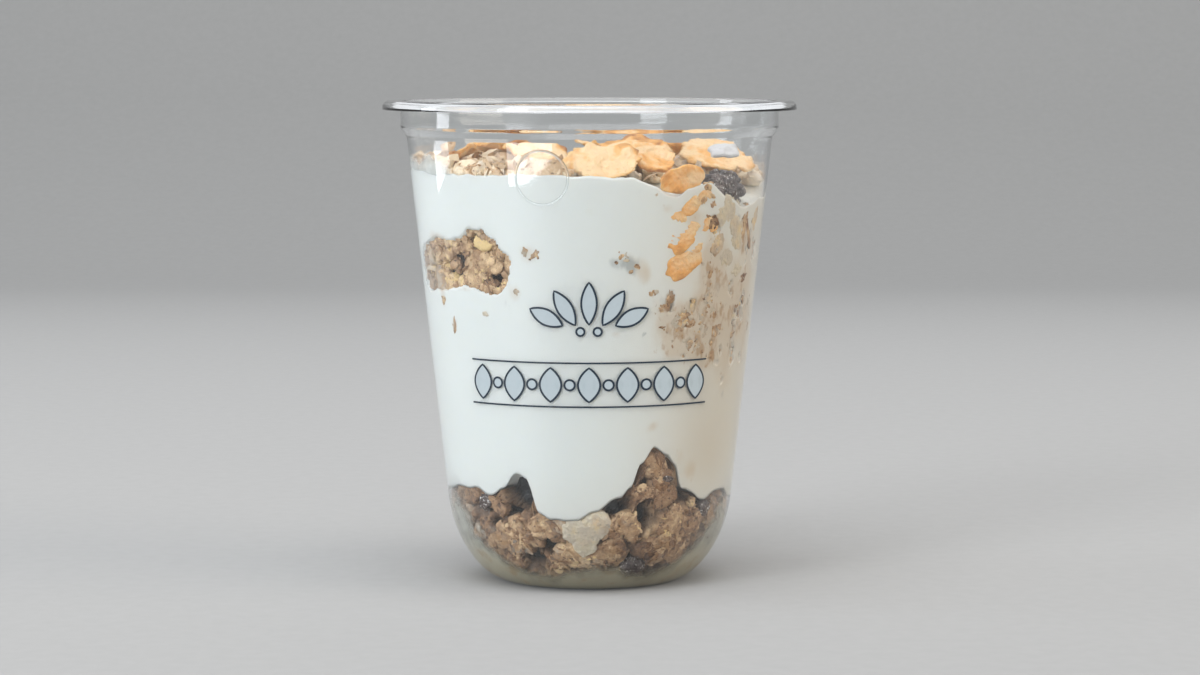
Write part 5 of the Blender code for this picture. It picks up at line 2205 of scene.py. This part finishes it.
@dataclass
class MilkFilm:
    """Thin films of yogurt that cling to the inside of the wall."""

    food: FoodForm
    outer: float = 0.00024
    inner: float = 0.00032
    bottom_net: tuple = (30, 220)
    smear_net: tuple = (30, 60)
    level: tuple = (
        (-66, 0.0185), (-60, 0.0160), (-57, 0.0120), (-50, 0.0075), (-41, 0.0045), (-31, 0.0036),
        (-16, 0.0034), (-7, 0.0052), (12, 0.0056), (19, 0.0036), (30, 0.0034), (44, 0.0042),
        (55, 0.0095), (60, 0.0140), (68, 0.0175), (85, 0.0120), (110, 0.0060), (135, 0.0090),
        (160, 0.0050), (190, 0.0045), (215, 0.0100), (240, 0.0060), (265, 0.0130),
    )

    def bottom(self, heap: Heap) -> None:
        """Adds the film over the rounded bottom.

        Args:
            heap: What gathers the films.
        """
        rows, columns = self.bottom_net
        cup, angles = self.food.cup, all_round(columns)
        top = round_about(self.level, angles) + self.fringe(angles)
        outer, inner = [], []
        for share in np.linspace(0.0, 1.0, rows):
            height = 0.8 * MM + (top - 0.8 * MM) * share
            outer.append(around(angles, cup.radius(height, self.outer), height))
            inner.append(around(angles, cup.radius(height, self.inner), height))
        points, faces = lathe(np.stack(outer + inner[::-1]))
        angles = angle_of(points)
        limit = round_about(self.level, angles)
        cover = 1.0 - fade(points[:, 2], limit - 3.0 * MM, limit + self.fringe(angles) * 0.9)
        cover *= 0.98 - 0.44 * fade(points[:, 2], 5 * MM, 12 * MM)
        # Darker and browner towards the bottom: partly whey, partly painted shade low down by the
        # floor.
        whey = 1.0 - 0.55 * fade(points[:, 2], 4 * MM, 14 * MM)
        heap.add(points, faces, cover=cover, whey=whey)

    def fringe(self, angles: Array) -> Array:
        """How far above its level the film thins out, wider at the sides than at the front."""
        return (3.5 + 4.5 * fade(np.abs(apart(angles, 0.0)), 22.0, 58.0)) * MM

    def smear(self, heap: Heap, angles: tuple, rise: float, strength: float) -> None:
        """Adds a ragged film above the yogurt's edge.

        Args:
            heap: What gathers the films.
            angles: The two angles in degrees that it lies between.
            rise: How high it reaches above the edge, in metres.
            strength: How white it is.
        """
        rows, columns = self.smear_net
        across, share = np.meshgrid(np.linspace(-1, 1, columns), np.linspace(0, 1, rows))
        angle = np.mean(angles) + across * (angles[1] - angles[0]) / 2
        height = self.food.top_height(angle, 1.0) + rise * share
        sheets = [
            around(angle, self.food.cup.radius(height, inset), height).reshape(-1, 3)
            for inset in (self.outer, self.inner)
        ]
        points, faces = two_sided(*sheets, rows, columns)
        fingers = 0.30 * layered_noise(around(angle, TOP_WALL * MM, 0.0), 6.0 * MM, 9)
        cover = strength * fade(1 - across**4, 0.0, 0.9) * (1 - fade(share + fingers, 0.25, 0.95))
        heap.add(points, faces, cover=np.tile(cover.ravel(), 2), whey=0.0)

    def build(self) -> None:
        """Makes one piece of the films."""
        heap = Heap()
        self.bottom(heap)
        self.smear(heap, (-86, -46), 6.0 * MM, 0.55)
        self.smear(heap, (110, 170), 5.0 * MM, 0.7)
        dress(heap.build("milk_film", MilkFinish().material()), "yogurt")


def two_sided(front: Array, back: Array, rows: int, columns: int) -> tuple[Array, Array]:
    """A thin closed body between two sheets of points of the same net.

    Args:
        front: The outer sheet's points, row by row.
        back: The inner sheet's points.
        rows: Rows of the net.
        columns: Points in a row.

    Returns:
        All points and the triangles.
    """
    index = np.arange(rows * columns).reshape(rows, columns)
    a, b, c, d = index[:-1, :-1], index[:-1, 1:], index[1:, 1:], index[1:, :-1]
    quads = np.stack([a, b, c, d], axis=-1).reshape(-1, 4)
    other = quads[:, ::-1] + index.size
    border = np.concatenate([index[0], index[1:, -1], index[-1, -2::-1], index[-2:0:-1, 0]])
    after = np.roll(border, -1)
    sides = np.stack([border, border + index.size, after + index.size, after], axis=-1)
    return np.vstack([front, back]), halved(np.concatenate([quads, other, sides]))


@dataclass
class Print:
    """The print: a fan of leaves over a band of pointed ovals and rings, in millimetres."""

    cup: CupForm
    line: float = 0.45
    proud: float = 0.00003
    band_low: float = 43.2
    band_high: float = 53.0
    band_reach: float = 29.0
    fan_foot: float = 61.2
    fan: tuple = ((-64, 8.6), (-32, 9.3), (0, 9.8), (32, 9.3), (64, 8.6))
    pitch: float = 8.6
    buried: float = 0.00004
    ink: Heap = field(default_factory=Heap)
    tint: Heap = field(default_factory=Heap)

    def strip(self, heap: Heap, first: Array, second: Array, proud: float) -> None:
        """Adds a thin strip of ink on the wall.

        Args:
            heap: The ink that it belongs to.
            first: One of its long sides, as (aside, up) in millimetres.
            second: Its other long side.
            proud: How far it stands off the wall, in metres.
        """
        columns = 3
        share = np.linspace(0, 1, columns)[None, :, None]
        flat = first[:, None] * (1 - share) + second[:, None] * share
        height = flat[..., 1] * MM
        sheets = []
        for lift in (proud, -self.buried):
            radius = self.cup.radius(height, 0.0) + lift
            angle = np.degrees(flat[..., 0] * MM / radius)
            sheets.append(around(angle, radius, height).reshape(-1, 3))
        heap.add(*two_sided(*sheets, len(first), columns))

    def outline(self, path: Array) -> None:
        """Adds an inked line along a closed path, and pale ink inside it.

        Args:
            path: Its corners, as (aside, up) in millimetres.
        """
        along = np.roll(path, -1, axis=0) - np.roll(path, 1, axis=0)
        along /= np.linalg.norm(along, axis=1, keepdims=True)
        aside = np.stack([-along[:, 1], along[:, 0]], axis=1) * self.line / 2
        outer, inner = (np.vstack([line, line[:1]]) for line in (path + aside, path - aside))
        self.strip(self.ink, outer, inner, self.proud)

    def leaf(self, foot: tuple, lean: float, length: float, width: float) -> None:
        """Adds a pointed oval leaf.

        Args:
            foot: Where it starts, as (aside, up) in millimetres.
            lean: How far it leans from upright, in degrees.
            length: Its length in millimetres.
            width: Its width in millimetres.
        """
        t = np.linspace(0, 1, 22)
        half = width / 2 * np.sin(np.pi * t) ** 0.8
        turn = math.radians(lean)
        rotate = np.array(((math.cos(turn), -math.sin(turn)), (math.sin(turn), math.cos(turn))))
        left = np.stack([-half, t * length], axis=1) @ rotate + foot
        right = np.stack([half, t * length], axis=1) @ rotate + foot
        self.strip(self.tint, right, left, self.proud * 0.5)
        self.outline(np.vstack([right, left[-2:0:-1]]))

    def ring(self, middle: tuple, radius: float) -> None:
        """Adds a small ring with pale ink inside.

        Args:
            middle: Its middle, as (aside, up) in millimetres.
            radius: Its radius.
        """
        turn = np.linspace(0, math.tau, 25)[:-1]
        path = np.stack([np.cos(turn), np.sin(turn)], axis=1) * radius + middle
        half = np.linspace(0, math.pi, 13)
        upper = np.stack([np.cos(half), np.sin(half)], axis=1) * radius + middle
        lower = upper * (1, -1) + (0, 2 * middle[1])
        self.strip(self.tint, upper, lower, self.proud * 0.5)
        self.outline(path)

    def build(self) -> None:
        """Makes the print's two pieces."""
        for lean, length in self.fan:
            aside = 0.075 * lean + 1.2 * math.sin(math.radians(lean))
            foot = (aside, self.fan_foot + 0.4 - abs(lean) * 0.004)
            self.leaf(foot, lean, length * 0.95, 3.4)
        for side in (-1, 1):
            self.ring((side * 1.9, self.fan_foot - 1.2), 0.9)
        middle = (self.band_low + self.band_high) / 2
        tall = self.band_high - self.band_low - 2.2
        for number in range(-3, 4):
            self.leaf((number * self.pitch, middle - tall / 2), 0, tall, 4.9)
        for number in range(-3, 3):
            self.ring(((number + 0.5) * self.pitch, middle), 1.15)
        for height in (self.band_low, self.band_high):
            asides = np.linspace(-1, 1, 90) * self.band_reach
            line = np.stack([asides, np.full(len(asides), height)], axis=1)
            half = np.array((0, self.line * 0.4))
            self.strip(self.ink, line + half, line - half, self.proud)
        dark = InkFinish("ink", (0.020, 0.038, 0.062)).material()
        pale = InkFinish("pale_ink", (0.65, 0.74, 0.78), 0.93).material()
        dress(self.ink.build("print_lines", dark, 30), "cup")
        dress(self.tint.build("print_tint", pale, 30), "cup")


@dataclass
class RaisedRing:
    """A plain raised ring moulded on the cup's wall, in millimetres but for its angle."""

    cup: CupForm
    angle: float = -14.7
    height: float = 93.8
    radius: float = 5.9
    half_width: float = 0.28
    proud: float = 0.12
    net: tuple = (96, 10)

    def build(self) -> None:
        """Makes the ring."""
        rows, columns = self.net
        turn = np.linspace(0, math.tau, rows + 1)[:-1, None]
        cross = np.linspace(0, math.tau, columns + 1)[None, :-1]
        reach = self.radius + self.half_width * np.cos(cross)
        height = (self.height + reach * np.sin(turn)) * MM
        wall = self.cup.radius(height, 0.0)
        angle = self.angle + np.degrees(reach * np.cos(turn) * MM / wall)
        rings = around(angle, wall + self.proud * np.sin(cross) * MM, height)
        index = np.arange(rows * columns).reshape(rows, columns)
        beside, onward = np.roll(index, -1, axis=1), np.roll(index, -1, axis=0)
        quads = np.stack([index, onward, np.roll(onward, -1, axis=1), beside], axis=-1)
        heap = Heap()
        heap.add(rings.reshape(-1, 3), halved(quads))
        dress(heap.build("raised_ring", ClearPlastic().material()), "cup")


@dataclass
class Studio:
    """The floor, the lights and the camera."""

    camera_place: tuple = (0.0024, -0.735, 0.12155)
    camera_dip: float = 5.14
    lens: float = 96.0
    sensor: float = 36.0
    target: tuple = (0.0, 0.0, 0.06)

    def sweep(self) -> None:
        """Makes the floor, which curves up behind into a backdrop."""
        shader = Shader("paper_sweep")
        grain = shader.noise(4 * MM, 3.0)
        paper = shader.mix(grain, (0.44, 0.435, 0.425), (0.48, 0.475, 0.465))
        surface = shader.surface(Base_Color=paper, Roughness=0.9)
        turn = np.linspace(0, math.pi / 2, 16)
        line = [(-2.0, 0.0), (0.9, 0.0)]
        line += [(0.9 + 0.5 * math.sin(t), 0.5 - 0.5 * math.cos(t)) for t in turn[1:]]
        line += [(1.4, 2.4)]
        asides = np.linspace(-2.5, 2.5, 9)
        front = np.array([(x, y, z) for y, z in line for x in asides])
        heap = Heap()
        heap.add(*two_sided(front, front - (0, -0.004, 0.004), len(line), len(asides)))
        heap.build("paper_sweep", surface)

    def lamp(
        self, name: str, azimuth: float, rise: float, away: float, size: tuple, power: float,
        colour: Colour,
    ) -> bpy.types.Object:
        """Adds a soft lamp.

        Args:
            name: Its name.
            azimuth: The side it stands on, in degrees from the viewer's side towards +X.
            rise: How high above the table it stands as seen from the food, in degrees.
            away: How far it is, in metres.
            size: Its width and height in metres.
            power: Its power in watts.
            colour: The colour of its light.

        Returns:
            The lamp.
        """
        light = bpy.data.lights.new(name, "AREA")
        light.shape = "RECTANGLE"
        light.size, light.size_y = size
        light.energy, light.color = power, colour
        lamp = bpy.data.objects.new(name, light)
        target, rise = Vector(self.target), math.radians(rise)
        way = around(np.array(azimuth), away * math.cos(rise), away * math.sin(rise))
        lamp.location = target + Vector(way)
        lamp.rotation_euler = (lamp.location - target).to_track_quat("Z", "Y").to_euler()
        lamp.visible_camera = False
        bpy.context.scene.collection.objects.link(lamp)
        return lamp

    def build(self) -> None:
        """Makes everything round the parfait."""
        self.sweep()
        self.lamp("window", -42, 12, 1.1, (0.34, 0.80), 4.2, (0.94, 0.97, 1.0))
        self.lamp("side_window", -98, 10, 1.1, (0.22, 0.80), 2.4, (0.92, 0.95, 1.0))
        self.lamp("overhead", -20, 74, 1.0, (0.9, 0.9), 4.7, (0.98, 0.98, 1.0))
        self.lamp("warm_fill", 75, 20, 1.3, (0.8, 0.8), 5.0, (1.0, 0.90, 0.78))
        self.lamp("back_strip", 178, 42, 0.9, (1.6, 0.7), 2.6, (0.94, 0.96, 1.0))
        for glare in (
            self.lamp("low_window", -36, -7.8, 0.30, (0.15, 0.011), 0.050, (0.96, 0.98, 1.0)),
            self.lamp("low_side", -102, -2.9, 0.30, (0.08, 0.012), 0.018, (0.96, 0.98, 1.0)),
        ):
            glare.visible_diffuse = False
            glare.visible_transmission = False
        world = bpy.data.worlds.new("studio")
        world.use_nodes = True
        sky = world.node_tree.nodes["Background"]
        sky.inputs["Color"].default_value = (0.86, 0.90, 0.94, 1.0)
        sky.inputs["Strength"].default_value = 0.66
        bpy.context.scene.world = world
        lens = bpy.data.cameras.new("camera")
        lens.lens, lens.sensor_width = self.lens, self.sensor
        camera = bpy.data.objects.new("camera", lens)
        camera.location = self.camera_place
        camera.rotation_euler = (math.radians(90.0 - self.camera_dip), 0.0, 0.0)
        bpy.context.scene.collection.objects.link(camera)
        bpy.context.scene.camera = camera
        bpy.context.scene.view_settings.view_transform = "Standard"


LEFT_CLUSTER = Pocket(
    (
        (-69, 78.8), (-59, 79.5), (-52, 79.4), (-48, 80.0), (-43, 81.7), (-38, 81.7), (-33, 79.9),
        (-31, 77.8), (-27, 76.5), (-27, 72.3), (-29, 69.4), (-31, 67.8), (-37, 67.8), (-41, 68.9),
        (-49, 69.0), (-57, 68.1), (-63, 68.4), (-70, 67.6), (-77, 69.3), (-77, 76.0),
    ),
    seed=31,
)
LEFT_PIECES = (
    (-37.6, 79.3, 3.4, 2.3, -0.30, 0.1), (-45.8, 78.2, 2.0, 1.9, 0.26, 0.1),
    (-42.7, 74.8, 3.0, 3.4, 0.26, 0.1), (-38.2, 74.7, 3.0, 3.0, 0.24, 0.1),
    (-33.3, 75.0, 2.6, 3.0, 0.28, 0.1), (-31.4, 77.2, 1.6, 1.5, 0.25, 0.1),
    (-45.0, 71.6, 2.2, 1.7, 0.25, 0.1), (-39.7, 71.1, 2.6, 1.7, 0.18, 0.1),
    (-35.2, 70.3, 2.2, 0.9, 0.78, 0.0), (-34.8, 68.6, 3.0, 0.9, 0.58, 0.0),
    (-29.0, 70.4, 1.1, 1.0, -0.05, 0.0), (-62.8, 75.8, 1.7, 2.6, 0.16, 0.30),
    (-55.6, 76.4, 1.7, 2.3, 0.22, 0.25), (-57.1, 72.9, 1.2, 1.5, 0.02, 0.20),
    (-55.2, 70.3, 2.7, 1.8, -0.08, 0.20), (-63.4, 69.8, 1.7, 1.6, 0.02, 0.60),
    (-69.4, 70.2, 1.9, 2.4, 0.18, 0.50), (-70.0, 75.4, 2.2, 2.9, 0.14, 0.60),
    (-50.2, 77.6, 1.4, 1.4, 0.34, 0.10), (-51.0, 73.6, 1.3, 1.6, 0.55, 0.00),
)
RIGHT_CLUSTER = Pocket(
    (
        (20, 67.5), (27, 69.5), (38, 68), (46, 71.5), (60, 70.5), (71, 65), (72, 55), (64, 47),
        (52, 46), (44, 50), (36, 53), (28, 60),
    ),
    depth=0.0012,
    seed=41,
    veil=0.0046,
    closed=0.93,
)
UPPER_CLUSTER = Pocket(
    (
        (37, 80.5), (40, 85.0), (47, 86.5), (58, 85.5), (66, 86.0), (76, 82), (77, 74), (66, 69.5),
        (52, 72), (43, 76),
    ),
    depth=0.0012,
    seed=51,
    veil=0.0046,
    closed=0.90,
)


def main() -> None:
    """Builds the parfait, its stage, lights and camera."""
    logging.basicConfig(level=logging.INFO, format="%(message)s")
    cup = CupForm()
    food = FoodForm(cup)
    oats = GranolaFinish().material()
    ClearCup(cup).build()
    yogurt = Yogurt(food, [LEFT_CLUSTER, RIGHT_CLUSTER, UPPER_CLUSTER])
    yogurt.build()
    WallBits(food, oats, yogurt.stains).build()
    BaseLayer(food, oats).build()
    WallCluster("left", ("granola_left",), LEFT_CLUSTER, cup, oats, 61, 0.1, LEFT_PIECES).build()
    WallCluster("right", ("granola_right",), RIGHT_CLUSTER, cup, oats, 62, 0.9).build()
    WallCluster("upper", ("granola_upper",), UPPER_CLUSTER, cup, oats, 63, 0.9).build()
    # Top heap granola: paler because dry, lighter still as painted light on the heap; its gap
    # colour is painted shade.
    dry_finish_with_painted_light = GranolaFinish(
        "dry_granola", nut=(0.92, 0.77, 0.55), straw=(0.89, 0.73, 0.54), tan=(0.80, 0.60, 0.40),
        brown=(0.55, 0.33, 0.17), burnt=(0.16, 0.08, 0.04), gap=(0.05, 0.04, 0.035),
        milk=(0.80, 0.76, 0.69),
    ).material()
    TopGranola(food, dry_finish_with_painted_light).build()
    Cornflakes(cup).build()
    Raisins(cup).build()
    CoconutChips().build()
    MilkFilm(food).build()
    Print(cup).build()
    RaisedRing(cup).build()
    Studio().build()


if __name__ == "__main__":
    main()
